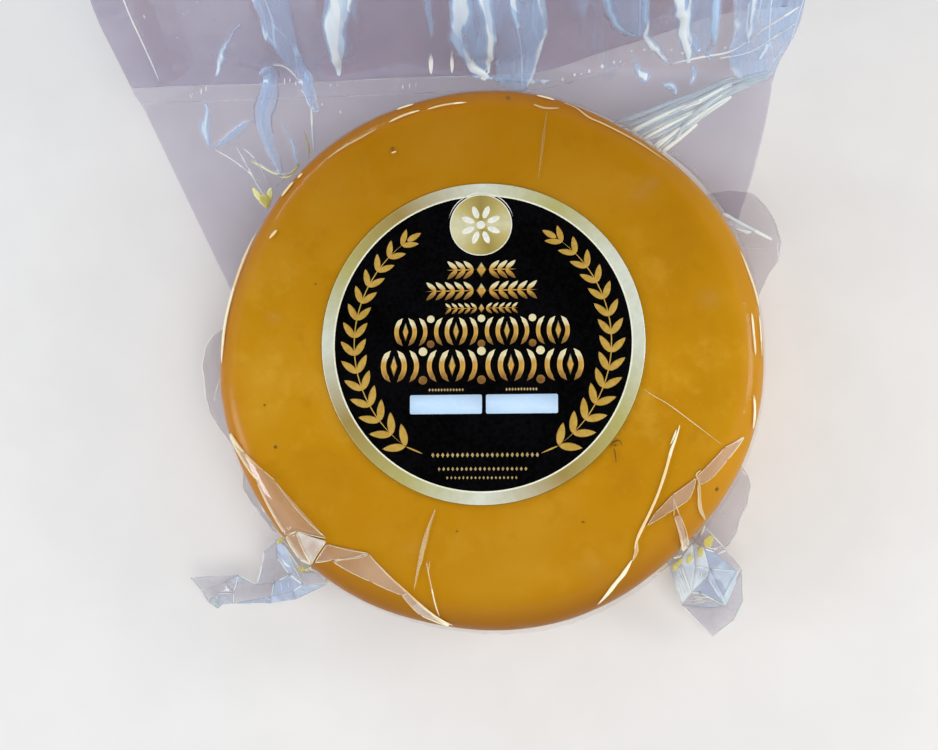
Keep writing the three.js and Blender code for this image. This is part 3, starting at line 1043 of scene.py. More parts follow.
    ticks: tuple[Quad, ...] = (
        (0.085, -0.6, 2.2, 0.5), (0.09, 0.2, 2.6, 0.5), (0.096, 0.4, 3, 0.6),
        (0.103, 0.8, 2.6, 0.5), (0.111, 1.6, 2, 0.4), (0.238, 3.2, 2.2, 0.5),
        (0.247, 3.2, 2.4, 0.5), (0.256, 2.4, 2, 0.4), (0.311, 1.2, 1.6, 0.8), (0.322, 1, 1.8, 0.7),
        (0.425, -0.2, 1.6, 0.6), (0.436, 0, 2, 0.5), (0.446, 0.2, 2, 0.6), (0.289, -5, 1.6, 1.2),
        (0.315, -7.5, 1.4, 1), (0.47, 6, 6.2, 1.7), (0.503, 7.4, 8.6, 1.4), (0.597, 4.2, 6.4, 1.8),
        (0.552, 1.6, 1.6, 2.4), (0.572, 0.9, 1.5, 2.8), (0.59, 0.6, 1.4, 2.4),
        (0.607, 0.5, 1.7, 2.6), (0.626, -0.1, 1.5, 2.6), (0.643, -0.6, 1.3, 2),
        (0.672, -1.2, 1.2, 1), (0.69, -1, 1.4, 1.2), (0.712, -1.8, 1.2, 0.9),
        (0.731, -2.2, 1.4, 1.3), (0.748, -2.6, 1.1, 1), (0.812, -7.2, 1.3, 1.2),
        (0.845, -9, 1.4, 1), (0.868, -9.6, 1.6, 1.2), (0.905, -11.2, 1.4, 0.9),
        (0.111, 28.8, 0.6, 0.5), (0.118, 29.2, 0.9, 0.7), (0.156, 28.4, 0.8, 0.6),
        (0.089, 19.6, 0.6, 0.5), (0.116, 14.1, 0.6, 0.5), (0.129, 13, 0.9, 0.7),
        (0.14, 34.4, 1.2, 0.6), (0.06, 30, 1.6, 0.8), (0.7, -1.6, 0.8, 0.5),
        (0.757, -3.4, 0.9, 0.6), (0.772, -1, 1, 0.7), (0.79, -2.2, 0.8, 0.9),
        (0.803, -4.8, 1.2, 0.5), (0.828, -6, 1, 0.7), (0.853, -6.6, 1.4, 0.6),
        (0.884, -7.8, 1, 0.8), (0.921, -8.6, 1.2, 0.6), (0.94, -12.8, 1.4, 0.7))

    def build(self, warm: Material, bright: Material) -> None:
        """Make both pieces.

        Args:
            warm: The finish of creased film over the cheese, with its painted highlight.
            bright: The finish of creased film elsewhere, with its painted highlight.
        """
        parts = ridge_meshes(self.on_wheel, Ground.WHEEL)
        finish(joined(parts), "film_creases_and_highlights_on_wheel", warm, Slot.FILM)
        short = [Ridge(((across, past - length / 2), (across + 0.001, past + length / 2)),
                       width, 0.3, 0.9, 0.45) for across, past, length, width in self.ticks]
        parts = ridge_meshes(self.on_loose, Ground.LOOSE) + ridge_meshes(short, Ground.LOOSE)
        finish(joined(parts), "film_creases_and_glints_on_skirt", bright, Slot.FILM)


@dataclass(frozen=True)
class YellowGlints:
    """Painted reflections of the cheese's yellow in folded film, beside the gathers and the ears.

    A spot is its distance from the axis, its turn and height, its length and width, and the
    turn of its length.
    """

    on_loose: tuple[Ridge, ...] = (
        Ridge(((0.124, -30.8), (0.127, -33), (0.131, -36)), 2, 0.2, 0.75, 0.45, 0.2),
        Ridge(((0.13, -33.2), (0.134, -35), (0.136, -37.6)), 2.8, 0.2, 0.6, 0.45, 0.2),
        Ridge(((0.156, -31), (0.15, -33), (0.146, -35.4)), 2.2, 0.2, 0.7, 0.45, 0.2),
        Ridge(((0.147, -32.4), (0.143, -34.6), (0.138, -37.4)), 2.6, 0.2, 0.5, 0.45, 0.2),
        Ridge(((0.128, -34.6), (0.14, -33.8), (0.152, -34.6)), 1.8, 0.2, 0.5, 0.45),
        Ridge(((0.138, -22.4), (0.155, -24.4), (0.171, -26.6), (0.192, -27.4)), 0.7, 0.3, 0.8,
            0.35),
        Ridge(((0.176, -27.6), (0.19, -28), (0.204, -27)), 0.6, 0.3, 0.75, 0.35),
        Ridge(((0.19, -27.2), (0.206, -26), (0.221, -23.4)), 1, 0.2, 0.35, 0.35),
        Ridge(((0.247, -13), (0.245, -18), (0.238, -22.5)), 0.7, 0.2, 0.3, 0.35, 0.2),
    )
    spots: tuple[tuple[float, float, float, float, float, float], ...] = (
        (81.8, 220.7, 27.7, 2.4, 1.2, 50), (82.9, 227.8, 26.6, 2.6, 1.5, -20),
        (81.7, 229, 26.6, 1.8, 1, 20), (81.9, 319.6, 31.2, 3.4, 2.6, 60),
        (82.3, 316.9, 31.2, 2.8, 1.5, 80), (81.4, 314.5, 29.8, 3, 1.3, 60),
        (80.4, 311.9, 27.6, 4.4, 1.4, 50))
    rise: float = 0.15

    def build(self, yellow_glint: Material) -> None:
        """Make the glints.

        Args:
            yellow_glint: The finish of the painted yellow reflections.
        """
        parts = ridge_meshes(self.on_loose, Ground.LOOSE, 60)
        for radius, way, z, length, width, turn in self.spots:
            spot = polar(radius, way, z)
            bm = bmesh.new()
            layer = bm.verts.layers.float.new("glare")
            ops.create_icosphere(bm, subdivisions=3, radius=1.0)
            for vert in bm.verts:
                rough = 1.0 + 0.35 * noise(vert.co * 1.6 + spot)
                vert.co = Vector((vert.co.x * length / 2, vert.co.y * width / 2,
                                  vert.co.z * self.rise)) * rough
                vert[layer] = 0.34 + 0.2 * noise(vert.co * 1.3 + spot)
            spin = Matrix.Rotation(radians(turn), 3, "Z")
            ops.rotate(bm, verts=bm.verts, matrix=spin)
            ops.translate(bm, verts=bm.verts, vec=spot)
            parts.append(bm)
        finish(joined(parts), "film_yellow_glints", yellow_glint, Slot.FILM)


# ---- cheese and its film


@dataclass
class CheeseWheel:
    """The cheese inside the bag.

    A dent is its turn and reach on the rind, its width and its depth.
    """

    form: WheelForm = WHEEL
    inset: float = 0.35
    rings: int = 44
    steps: int = 14
    sides: int = 288
    swell: float = 0.16
    broad: float = 21.0
    narrow: float = 8.0
    dents: tuple[Quad, ...] = (
        (113.9, 63, 1.4, 0.5), (84.2, 73, 1.8, 0.4), (312.7, 70.6, 6, 0.35),
        (299.7, 54.6, 2.2, 0.25), (43, 60.6, 5, 0.2))

    def spun(self, inset: float, rings: int, steps: int, sides: int) -> BMesh:
        """Spin the wheel's half section once round.

        Args:
            inset: How far inside the true surface.
            rings: Points across the flat top.
            steps: Points down the shoulder.
            sides: Steps round the axis.

        Returns:
            A closed mesh, still truly round.
        """
        bm = bmesh.new()
        verts = [bm.verts.new(point) for point in self.form.section(rings, steps, inset)]
        edges = [bm.edges.new(pair) for pair in zip(verts, verts[1:])]
        ops.spin(bm, geom=verts + edges, cent=(0.0, 0.0, 0.0), axis=(0.0, 0.0, 1.0),
                 angle=FULL_TURN, steps=sides, use_merge=True)
        ops.remove_doubles(bm, verts=bm.verts, dist=1e-3)
        return bm

    def relief(self, point: Vector) -> float:
        """How far the rind sinks.

        Args:
            point: A point on the even rind.

        Returns:
            A depth, never below 0.
        """
        small = noise(point / self.narrow + Vector((9, 3, 1)))
        low = noise(point / self.broad) + 0.5 * small
        sunk = self.swell * (1.0 + low)
        for turn, reach, width, depth in self.dents:
            gap = (point - self.form.place(turn, reach)).length
            sunk += depth * exp(-((gap / width) ** 2))
        return max(sunk, 0.0)

    def build(self, rind: Material) -> Object:
        """Make the cheese.

        Args:
            rind: Its finish.

        Returns:
            The finished piece.
        """
        bm = self.spun(self.inset, self.rings, self.steps, self.sides)
        ops.recalc_face_normals(bm, faces=bm.faces)
        bm.normal_update()
        moves = {}
        for vert in bm.verts:
            turn = atan2(vert.co.y, vert.co.x)
            grow = 1.0 + self.form.out_of_round(turn) / self.form.radius
            out = Vector((vert.co.x * grow, vert.co.y * grow, vert.co.z))
            sunk = self.relief(out) if vert.co.z > 1.0 else 0.0
            moves[vert] = out - vert.normal * sunk
        for vert, place in moves.items():
            vert.co = place
        return finish(bm, "cheese_wheel", rind, Slot.CHEESE)


@dataclass
class ClingFilm(CheeseWheel):
    """The film drawn tight round the cheese, pinched out into a seam at its waist.

    A faint painted reflection on the top is its X and Y, its width and its strength.
    """

    rings: int = 30
    steps: int = 16
    sides: int = 360
    pucker: float = 0.5
    top_reflections: tuple[Quad, ...] = (
        (24.5, 60.5, 3, 0.27), (43.5, 42, 5.5, 0.26), (48, 46, 4, 0.22), (-19, -55, 5, 0.2),
        (-59, 10, 4, 0.17), (62, 13, 5, 0.17), (30, -60, 6, 0.18))

    def build(self, film: Material) -> Object:
        """Make the film shell.

        Args:
            film: Its finish.

        Returns:
            The finished piece.
        """
        bm = self.spun(0.0, self.rings, self.steps, self.sides)
        layer = bm.verts.layers.float.new("glare")
        form = self.form
        for vert in bm.verts:
            turn = atan2(vert.co.y, vert.co.x)
            radius = hypot(vert.co.x, vert.co.y)
            waist = max(0.0, 1.0 - abs(vert.co.z - form.seam_z) / form.seam_reach)
            on_wall = radius > form.radius - 0.9
            out = waist * form.seam_out(turn) if on_wall else 0.0
            ring = Vector((cos(turn) * 26.0, sin(turn) * 26.0, vert.co.z / 9.0))
            out += self.pucker * waist * noise(ring) if on_wall else 0.0
            grow = 1.0 + form.out_of_round(turn) / form.radius + out / max(radius, 1.0)
            vert.co.x *= grow
            vert.co.y *= grow
            # Painted reflections on the film over the top.
            top_reflection = sum(deep * exp(-(((vert.co.x - x) / wide) ** 2
                                      + ((vert.co.y - y) / wide) ** 2))
                         for x, y, wide, deep in self.top_reflections) if vert.co.z > 45 else 0.0
            seam = between(0.22, 0.5, smooth(-0.2, 0.5, sin(turn)))
            vert[layer] = seam * smooth(0.9, 1.0, waist) if on_wall else top_reflection
        return finish(bm, "film_shell", film, Slot.FILM)


# ---- the loose film


class Look(Enum):
    """How a streak, a painted reflection on the loose film, shows."""

    GLARE = "glare"
    SKY_REFLECTION = "sky_reflection"


@dataclass(frozen=True)
class Streak:
    """A painted reflection along the skirt: a path and a half width at each of its points."""

    path: tuple[Triple, ...]
    strength: float = 1.0
    lift: float = 0.5
    look: Look = Look.GLARE

    @cached_property
    def track(self) -> list[Triple]:
        """The path made smooth, its points in millimetres."""
        steps = 4 * (len(self.path) - 1)
        points = [along(self.path, step / steps) for step in range(steps + 1)]
        return [(u * SKIRT_WIDTH, past, max(wide, 0.2)) for u, past, wide in points]

    @cached_property
    def reach(self) -> Quad:
        """The box that the streak lies in."""
        xs = [x + side * wide for x, _, wide in self.track for side in (-1, 1)]
        ys = [y + side * wide for _, y, wide in self.track for side in (-1, 1)]
        return min(xs), max(xs), min(ys), max(ys)

    def at(self, x: float, past: float) -> float:
        """How strongly the streak shows at a place.

        Args:
            x: Millimetres from the film's left edge.
            past: Millimetres past the seal.

        Returns:
            0 outside it and up to 1 on its middle.
        """
        left, right, low, high = self.reach
        if not (left < x < right and low < past < high):
            return 0.0
        best = 0.0
        for (ax, ay, w0), (cx, cy, w1) in zip(self.track, self.track[1:]):
            bx, by = cx - ax, cy - ay
            t = ((x - ax) * bx + (past - ay) * by) / max(bx * bx + by * by, 1e-6)
            t = min(max(t, 0.0), 1.0)
            gap = hypot(x - ax - bx * t, past - ay - by * t)
            best = max(best, 1.0 - gap / between(w0, w1, t))
        return best


@dataclass
class LooseFilm:
    """The two plies of film behind the wheel, joined at the side seals and the heat seal.

    Waves are a height, a length across, a length along and a noise level of their own.
    """

    form: LooseForm = LOOSE
    columns: int = 300
    rows: int = 130
    film: float = 0.16
    side_seal: float = 0.044
    gap: float = 2.6
    wide_waves: tuple[float, ...] = (0.5, 16.0, 34.0, 1.7)
    fine_waves: tuple[float, ...] = (0.22, 4.2, 15.0, 5.2)
    tight_waves: tuple[float, ...] = (0.35, 2.6, 9.0, 8.1)
    # Painted reflections on the front ply: white highlights and bluish reflections of the sky.
    streaks: tuple[Streak, ...] = (
        Streak(((0.2, 31.1, 0.4), (0.166, 21, 0.7), (0.147, 12.1, 1.7), (0.13, 5.4, 0.8)), 0.62,
            0.4),
        Streak(((0.103, -3.4, 0.8), (0.101, -6.1, 1.1), (0.085, -11.2, 1.6), (0.081, -17.5, 0.6)),
            0.62, 0.4),
        Streak(((0.085, -17.8, 0.6), (0.12, -14.5, 1.7), (0.149, -11, 1.4), (0.169, -9.5, 0.5)),
            0.5, 0.5),
        Streak(((0.205, 6.6, 1), (0.219, 11, 1.3), (0.211, 0.4, 3.2), (0.188, -7.6, 3.3),
            (0.181, -17.5, 2.6), (0.182, -26.5, 0.8)), 1, 1, Look.SKY_REFLECTION),
        Streak(((0.212, 3, 0.8), (0.196, -5, 1.3), (0.183, -15, 1.2), (0.183, -23, 0.5)), 0.52,
            0.3),
        Streak(((0.196, 2.6, 1.2), (0.208, 1.5, 1.6)), 0.6, 0.2),
        Streak(((0.216, -10.5, 0.6), (0.219, -17.4, 1.1), (0.214, -23.8, 0.6)), 0.5, 0.5),
        Streak(((0.252, 52, 6.5), (0.255, 36.4, 5.4), (0.253, 26, 4.6), (0.261, 11.5, 3.4),
            (0.276, 1.5, 2.2), (0.28, -6.4, 1)), 1, 0.8, Look.SKY_REFLECTION),
        Streak(((0.243, 30, 0.7), (0.262, 22, 1), (0.27, 10, 0.9), (0.279, 2, 0.5)), 0.45, 0.2),
        Streak(((0.352, 52, 5.8), (0.348, 35, 4.6), (0.336, 26.4, 3.9), (0.33, 16.6, 2.9),
            (0.325, 5.1, 1)), 1.2, 0.8),
        Streak(((0.364, 52, 7), (0.356, 30, 6), (0.345, 14, 3.6)), 0.3, 0),
        Streak(((0.524, 52, 4.4), (0.525, 33.5, 4), (0.515, 18, 3.4), (0.531, 7.1, 2.6),
            (0.556, 2.1, 1.4)), 0.95, 0.7),
        Streak(((0.556, 52, 2.6), (0.558, 34, 2), (0.563, 19, 1.8), (0.56, 3.9, 0.8)), 0.8, 0.4),
        Streak(((0.54, 52, 8), (0.54, 30, 7.4), (0.54, 8, 5)), 1, 0.5, Look.SKY_REFLECTION),
        Streak(((0.47, 38, 1.2), (0.476, 24, 1.5), (0.48, 16, 0.8)), 0.42, 0.3),
        Streak(((0.61, 52, 9), (0.6, 32.4, 8.6), (0.606, 16, 8), (0.6, 2.2, 6)), 1, 0.6,
            Look.SKY_REFLECTION),
        Streak(((0.594, 52, 2.2), (0.595, 32.8, 1.9), (0.599, 23.5, 0.9)), 0.85, 0.5),
        Streak(((0.536, 2.4, 1), (0.578, 1.2, 1.3), (0.609, 0.6, 1.3), (0.65, -0.5, 0.9)), 0.5,
            0.1),
        Streak(((0.745, 42, 7), (0.754, 22.1, 6), (0.761, 14.5, 5.6), (0.779, 7.4, 2.6)), 1, 0.9,
            Look.SKY_REFLECTION),
        Streak(((0.728, 40, 2), (0.733, 22.1, 1.9), (0.745, 13.5, 1.7), (0.772, 7.8, 1.4)), 0.75,
            0.3),
        Streak(((0.775, 36, 1.6), (0.781, 20, 1.5), (0.786, 9, 1.5), (0.792, 3.2, 1.4),
            (0.81, -4.2, 1.2), (0.828, -10.8, 0.5)), 0.72, 0.5),
        Streak(((0.822, 40, 2.4), (0.829, 16.4, 2.1), (0.839, 1, 1.6), (0.858, -13.6, 1)), 0.95,
            0.6),
        Streak(((0.872, 36, 2.8), (0.879, 8, 2.5), (0.885, 0.9, 2), (0.89, -8.1, 0.8)), 0.95, 0.6),
        Streak(((0.85, 32, 7), (0.855, 8, 6.4), (0.866, -8, 4.4)), 1, 0.2, Look.SKY_REFLECTION),
        Streak(((0.893, -9.6, 0.9), (0.885, -12.2, 0.9), (0.893, -14.6, 0.9)), 0.8, 0.4),
        Streak(((0.925, 30, 2), (0.93, 5.6, 1.6), (0.932, -1.6, 1.3), (0.939, -9.9, 0.6)), 0.8,
            0.6),
        Streak(((0.966, -17, 0.9), (0.965, -11.4, 1.2)), 0.9, 0.3),
        Streak(((0.777, -4.1, 0.7), (0.786, -9, 1.5), (0.796, -12.4, 2.1)), 0.68, 0.4),
        Streak(((0.826, -17.4, 0.8), (0.836, -19, 1.4), (0.842, -22, 0.8)), 0.6, 0.4),
        Streak(((0.866, -15.8, 0.8), (0.872, -18.5, 1.5), (0.868, -21, 0.9)), 0.62, 0.4),
        Streak(((0.975, -14, 12), (0.965, 4, 13), (0.955, 28, 14)), 1, 0, Look.SKY_REFLECTION),
        Streak(((0.7, 30, 9), (0.72, 10, 7), (0.745, -4, 5)), 0.32, 0),
        Streak(((0.96, 34, 10), (0.965, 8, 9), (0.97, -8, 7)), 0.38, 0),
    )

    def strength(self, across: float, past: float) -> Triple:
        """What the streaks do at a place.

        Args:
            across: As in LooseForm.point.
            past: As in LooseForm.point.

        Returns:
            The painted highlight, the painted sky reflection and how far the film is lifted.
        """
        shown, sky_reflected, lift = 0.0, 0.0, 0.0
        spot = Vector((across * SKIRT_WIDTH, past * 0.5, 3.0))
        x = across * SKIRT_WIDTH + noise(spot / 6.0) + 0.5 * noise(spot / 2.4)
        for streak in self.streaks:
            inside = streak.at(x, past)
            if inside > 0.0:
                lift = max(lift, streak.lift * smooth(0.0, 1.0, inside))
                if streak.look is Look.SKY_REFLECTION:
                    sky_reflected = max(sky_reflected, inside)
                else:
                    shown = max(shown, streak.strength * min(1.0, inside * 1.2))
        return shown, sky_reflected, lift

    def crumple(self, across: float, past: float) -> float:
        """Small waves of the film.

        Args:
            across: As in LooseForm.point.
            past: As in LooseForm.point.

        Returns:
            How far out it waves.
        """
        wide, fine, tight = (
            high * noise(Vector((across * SKIRT_WIDTH / pitch, past / run, level)))
            for high, pitch, run, level in (self.wide_waves, self.fine_waves, self.tight_waves))
        near_seal = exp(-((past / 7.0) ** 2))
        flat = smooth(0.0, 0.05, across) * smooth(0.0, 0.03, 1.0 - across)
        return flat * (wide * smooth(-60.0, 0.0, past) + fine + tight * near_seal)

    def parting(self, across: float, past: float) -> float:
        """How far the two plies stand apart."""
        inner = smooth(self.side_seal, self.side_seal + 0.09, across)
        inner *= smooth(0.02, 0.10, 1.0 - across)
        return self.gap * inner * smooth(2.5, 26.0, past)

    def ply(self, front: bool) -> BMesh:
        """Make one ply.

        Args:
            front: True for the ply nearer the wheel, which runs on down to it.

        Returns:
            The sheet without thickness.
        """
        form = self.form
        starts: dict[float, float] = {}
        cells: dict[tuple[float, float], Triple] = {}

        def where(u: float, v: float) -> tuple[float, float]:
            """The place across and past the seal."""
            key = round(u, 5)
            if key not in starts:
                starts[key] = form.start(u, WHEEL) if front else 2.6
            return u, between(starts[key], form.skirt, v)

        def place(u: float, v: float) -> Vector:
            """A point of the ply, crumpled and lifted."""
            across, past = where(u, v)
            out = self.crumple(across, past)
            apart = self.parting(across, past) / 2
            if front:
                out = (out + (apart + cells[(u, v)][2])) * smooth(0.0, 0.05, v)
            else:
                out = 0.6 * out - apart - 0.1
            return form.point(across, past) + form.normal(across, past) * out

        def glare(u: float, v: float) -> float:
            """How bright the painted highlight on the ply shows."""
            if not front:
                return 0.0
            cells[(u, v)] = self.strength(*where(u, v))
            return cells[(u, v)][0]

        def sky_reflection(u: float, v: float) -> float:
            """How far inside a painted sky reflection the place is."""
            return cells[(u, v)][1] if front else 0.0

        columns = self.columns if front else self.columns // 2
        rows = self.rows if front else self.rows // 3
        return woven(columns, rows, place, glare, sky_reflection)

    def build(self, film: Material) -> None:
        """Make both plies.

        Args:
            film: The finish of loose film.
        """
        for front, name in ((True, "film_front_ply"), (False, "film_back_ply")):
            thicken(finish(self.ply(front), name, film, Slot.FILM, closed=False), self.film)


@dataclass
class PleatBundle:
    """The fan of pleats where the loose film bends up at the right."""

    upper: tuple[Point, ...] = (
        (0.74, -20.6), (0.8, -23), (0.884, -24.6), (0.939, -22.8), (0.995, -20.4))
    lower: tuple[Point, ...] = (
        (0.826, -39.5), (0.856, -37), (0.885, -34.6), (0.941, -29.6), (0.995, -24.4))
    cords: tuple[Ridge, ...] = (
        Ridge(((0.996, -22.4), (0.95, -25.6), (0.9, -29), (0.862, -33.4), (0.842, -38.2)), 1.9, 1,
            0.55, 0.1, 0.3),
        Ridge(((0.998, -21.6), (0.94, -24.4), (0.885, -27.2), (0.82, -28.2), (0.776, -27.4)), 1.5,
            0.9, 0.5, 0.1, 0.3),
    )
    pleats: int = 15
    width: float = 1.2
    height: float = 0.8

    def build(self, bright: Material) -> None:
        """Make the bundle.

        Args:
            bright: The finish of creased film.
        """
        rng = random.Random(7)
        parts = ridge_meshes(self.cords, Ground.LOOSE, 30)
        for pleat in range(self.pleats):
            share = pleat / (self.pleats - 1)
            path = []
            for top, foot in zip(self.upper, self.lower):
                slide = min(max(share + rng.uniform(-0.07, 0.07), 0.0), 1.0)
                path.append(tuple(between(a, b, slide) for a, b in zip(top, foot)))
            path = path[:rng.choice((3, 4, 4, 5))]
            glare = rng.choice((0.5, 0.8, 0.62, 0.9))
            width = self.width * rng.uniform(0.6, 1.3)
            ridge = Ridge(tuple(path), width, self.height, glare, 0.12, 0.3)
            parts.append(ridge_mesh(ridge, Ground.LOOSE, 40 + pleat))
        finish(joined(parts), "film_pleats_right", bright, Slot.FILM)


# ---- fins, folds and the ears


@dataclass(frozen=True)
class Facets:
    """A crumpled bit of film: named corners and the flat facets between them.

    A corner is its distance from the axis, its turn in degrees and its height. A face is its
    corners' letters, its painted highlight, which also makes it milky, and its painted bluish
    reflection of the sky, so each facet shows its own painted light and shade. A line is a pair
    of letters. A frill is a face's letters and how many small bright creases run from its first
    edge to its last.
    """

    name: str
    corners: dict[str, Triple]
    faces: tuple[tuple[str, float, float], ...]
    lines: str
    frills: tuple[tuple[str, int], ...] = ()
    crease: float = 0.5
    crumple: float = 0.22
    cuts: int = 5
    thickness: float = 0.2

    def ripple(self, point: Vector) -> Vector:
        """A point moved by the small unevenness of the film."""
        wave = noise(point / 5.0) + 0.6 * noise(point / 2.1)
        return point + Vector((0.0, 0.0, self.crumple * wave))

    def sheets(self) -> list[BMesh]:
        """Make each facet a sheet of its own, so that the folds between them are sharp.

        Returns:
            The sheets.
        """
        made = []
        for letters, milky, bluish in self.faces:
            bm = facet([polar(*self.corners[letter]) for letter in letters], self.cuts)
            glare, sky_reflection = (bm.verts.layers.float[name] for name in ("glare", "sky_reflection"))
            for vert in bm.verts:
                vert.co = self.ripple(vert.co)
                # Painted highlight and painted sky reflection of this facet.
                vert[glare] = milky + 0.1 * noise(vert.co / 3.0)
                vert[sky_reflection] = bluish
            made.append(bm)
        return made

    def seams(self) -> list[BMesh]:
        """Make thin bright tubes along the chosen edges and across crinkled facets.

        Returns:
            The tubes.
        """
        tubes = [self.tube(polar(*self.corners[pair[0]]), polar(*self.corners[pair[1]]),
                           seed, 1.0) for seed, pair in enumerate(self.lines.split())]
        rng = random.Random(len(self.lines))
        lift = Vector((0.0, 0.0, 0.12))
        for letters, count in self.frills:
            spots = [polar(*self.corners[letter]) for letter in letters]
            for step in range(count):
                share = (step + rng.uniform(0.1, 0.9)) / count
                slide = min(max(share + rng.uniform(-0.12, 0.12), 0.0), 1.0)
                root = spots[0].lerp(spots[1], share) + lift
                tip = spots[-1].lerp(spots[-2], slide) + lift
                near, far = rng.uniform(0.0, 0.35), rng.uniform(0.6, 1.0)
                tubes.append(self.tube(root.lerp(tip, near), root.lerp(tip, far),
                                       rng.randrange(99), 0.6))
        return tubes

    def tube(self, start: Vector, end: Vector, seed: int, size: float) -> BMesh:
        """One crease between two places.

        Args:
            start: Where it starts.
            end: Where it ends.
            seed: Chooses how bright it is.
            size: Its width, 1 for the usual one.

        Returns:
            A thin tube.
        """
        ahead = (end - start).normalized()
        side = ahead.cross(Vector((0.0, 0.0, 1.0))).normalized()
        up = side.cross(ahead)
        strong = 0.45 + 0.5 * abs(sin(seed * 2.4))

        def place(u: float, v: float) -> Vector:
            """A point of the tube, u round it and v along it."""
            point = self.ripple(start.lerp(end, v))
            full = self.crease * size / 2 * (0.35 + 0.65 * strong)
            full *= (4.0 * v * (1.0 - v)) ** 0.35 if 0.0 < v < 1.0 else 0.0
            a = u * FULL_TURN
            return point + side * (full * cos(a)) + up * (full * sin(a))

        return woven(6, 10, place, lambda u, v: strong)

    def build(self, film: Material, bright: Material) -> None:
        """Make the sheets and their creases.

        Args:
            film: The finish of the sheets.
            bright: The finish of their creases.
        """
        thicken(finish(joined(self.sheets()), self.name, film, Slot.FILM), self.thickness)
        finish(joined(self.seams()), self.name + "_creases", bright, Slot.FILM)


LEFT_EAR = Facets(
    "film_ear_left",
    {"a": (82.5, 220, 27), "b": (81.8, 221.6, 27), "c": (87.3, 229.5, 20), "d": (88.2, 219.8, 24),
     "e": (91.7, 221, 20), "f": (98.6, 222.7, 14), "g": (86.9, 222, 21), "h": (88.4, 226, 18),
     "i": (94.4, 224.7, 14.5), "k": (100.7, 219.4, 16), "l": (113.6, 214.8, 15),
     "m": (114.2, 217.3, 11), "n": (115.4, 219, 8), "p": (114.6, 220.7, 7), "q": (112.4, 220.7, 8),
     "r": (108.9, 222, 10), "s": (100.7, 226.3, 9), "t": (93.6, 229.6, 12), "u": (83.2, 233, 18),
     "v": (81.6, 229.9, 24), "w": (83.9, 228.3, 24), "x": (105.9, 220.9, 13),
     "y": (106.3, 218.6, 12.5), "z": (110.7, 219, 11), "P": (91.5, 228.5, 16),
     "Q": (98.3, 225.9, 12), "A": (79, 221, 26), "B": (78.6, 232.5, 22)},
    (("abchg", 0.26, 0.5), ("agifed", 0.24, 0), ("ghi", 0, 0), ("ihcPQ", 0.5, 0.6),
     ("cwvu", 0.2, 0), ("Pcut", 0.66, 0.4), ("QPts", 0.6, 0.3), ("kfiQrx", 0.3, 0),
     ("rQs", 0.42, 0.6), ("lkym", 0, 0), ("kxy", 0.3, 0), ("myxzn", 0.12, 0), ("nzxrqp", 0.5, 0),
     ("Abwv", 0.1, 0), ("AvB", 0.15, 0), ("vuB", 0.3, 0), ("Aab", 0.2, 0)),
    "lk kf fe ed da bc gh hc ih Pc lm mn np pq qr rs st tu kx xr iQ QP vu wb",
    (("nzxrqp", 9), ("Pcut", 3), ("kxy", 2), ("ihcPQ", 2)))

RIGHT_EAR = Facets(
    "film_ear_right",
    {"A": (82.4, 317.9, 30), "B": (87.1, 320.6, 27), "C": (94.8, 319.8, 22), "D": (101.9, 316, 16),
     "E": (104.4, 312.9, 12), "F": (104.6, 308.6, 8.5), "G": (91.1, 307.8, 14),
     "H": (82.7, 309.8, 21), "I": (80.4, 313, 26), "J": (79.2, 317.3, 28), "K": (96.6, 314.2, 19),
     "L": (94.2, 319, 22.5), "M": (87.7, 315.9, 25), "O": (91.2, 311.7, 18),
     "Q": (97.2, 311.5, 15), "R": (99, 313.4, 17), "S": (85.4, 318.8, 28.5),
     "T": (84.3, 314.3, 26), "U": (89.7, 310.6, 19), "V": (89.1, 314.6, 22.5),
     "N": (95.8, 317.9, 21), "W": (78.6, 321.5, 27), "X": (77.6, 311, 24)},
    (("ASLM", 0.3, 0.6), ("SBCL", 0.05, 0), ("MLK", 0.12, 0.6), ("MKRV", 0.62, 0.4),
     ("KLNR", 0.6, 0.4), ("NCDEFQR", 0.1, 0), ("RQG", 0.05, 0.4), ("QFG", 0.06, 0),
     ("VROU", 0, 0.4), ("RGUO", 0, 0), ("JAMT", 0.76, 0), ("IJTU", 0.78, 0), ("TMVU", 0.7, 0),
     ("HIUG", 0.66, 0), ("WBSAJ", 0.2, 0), ("XIH", 0.4, 0), ("XJI", 0.4, 0)),
    "BC CD DE EF HG GF ML OR AS VR KR RN LK UO IJ JA MT HI WB",
    (("JAMT", 6), ("IJTU", 10), ("HIUG", 14), ("TMVU", 4), ("GUOR", 5), ("QFG", 2)))


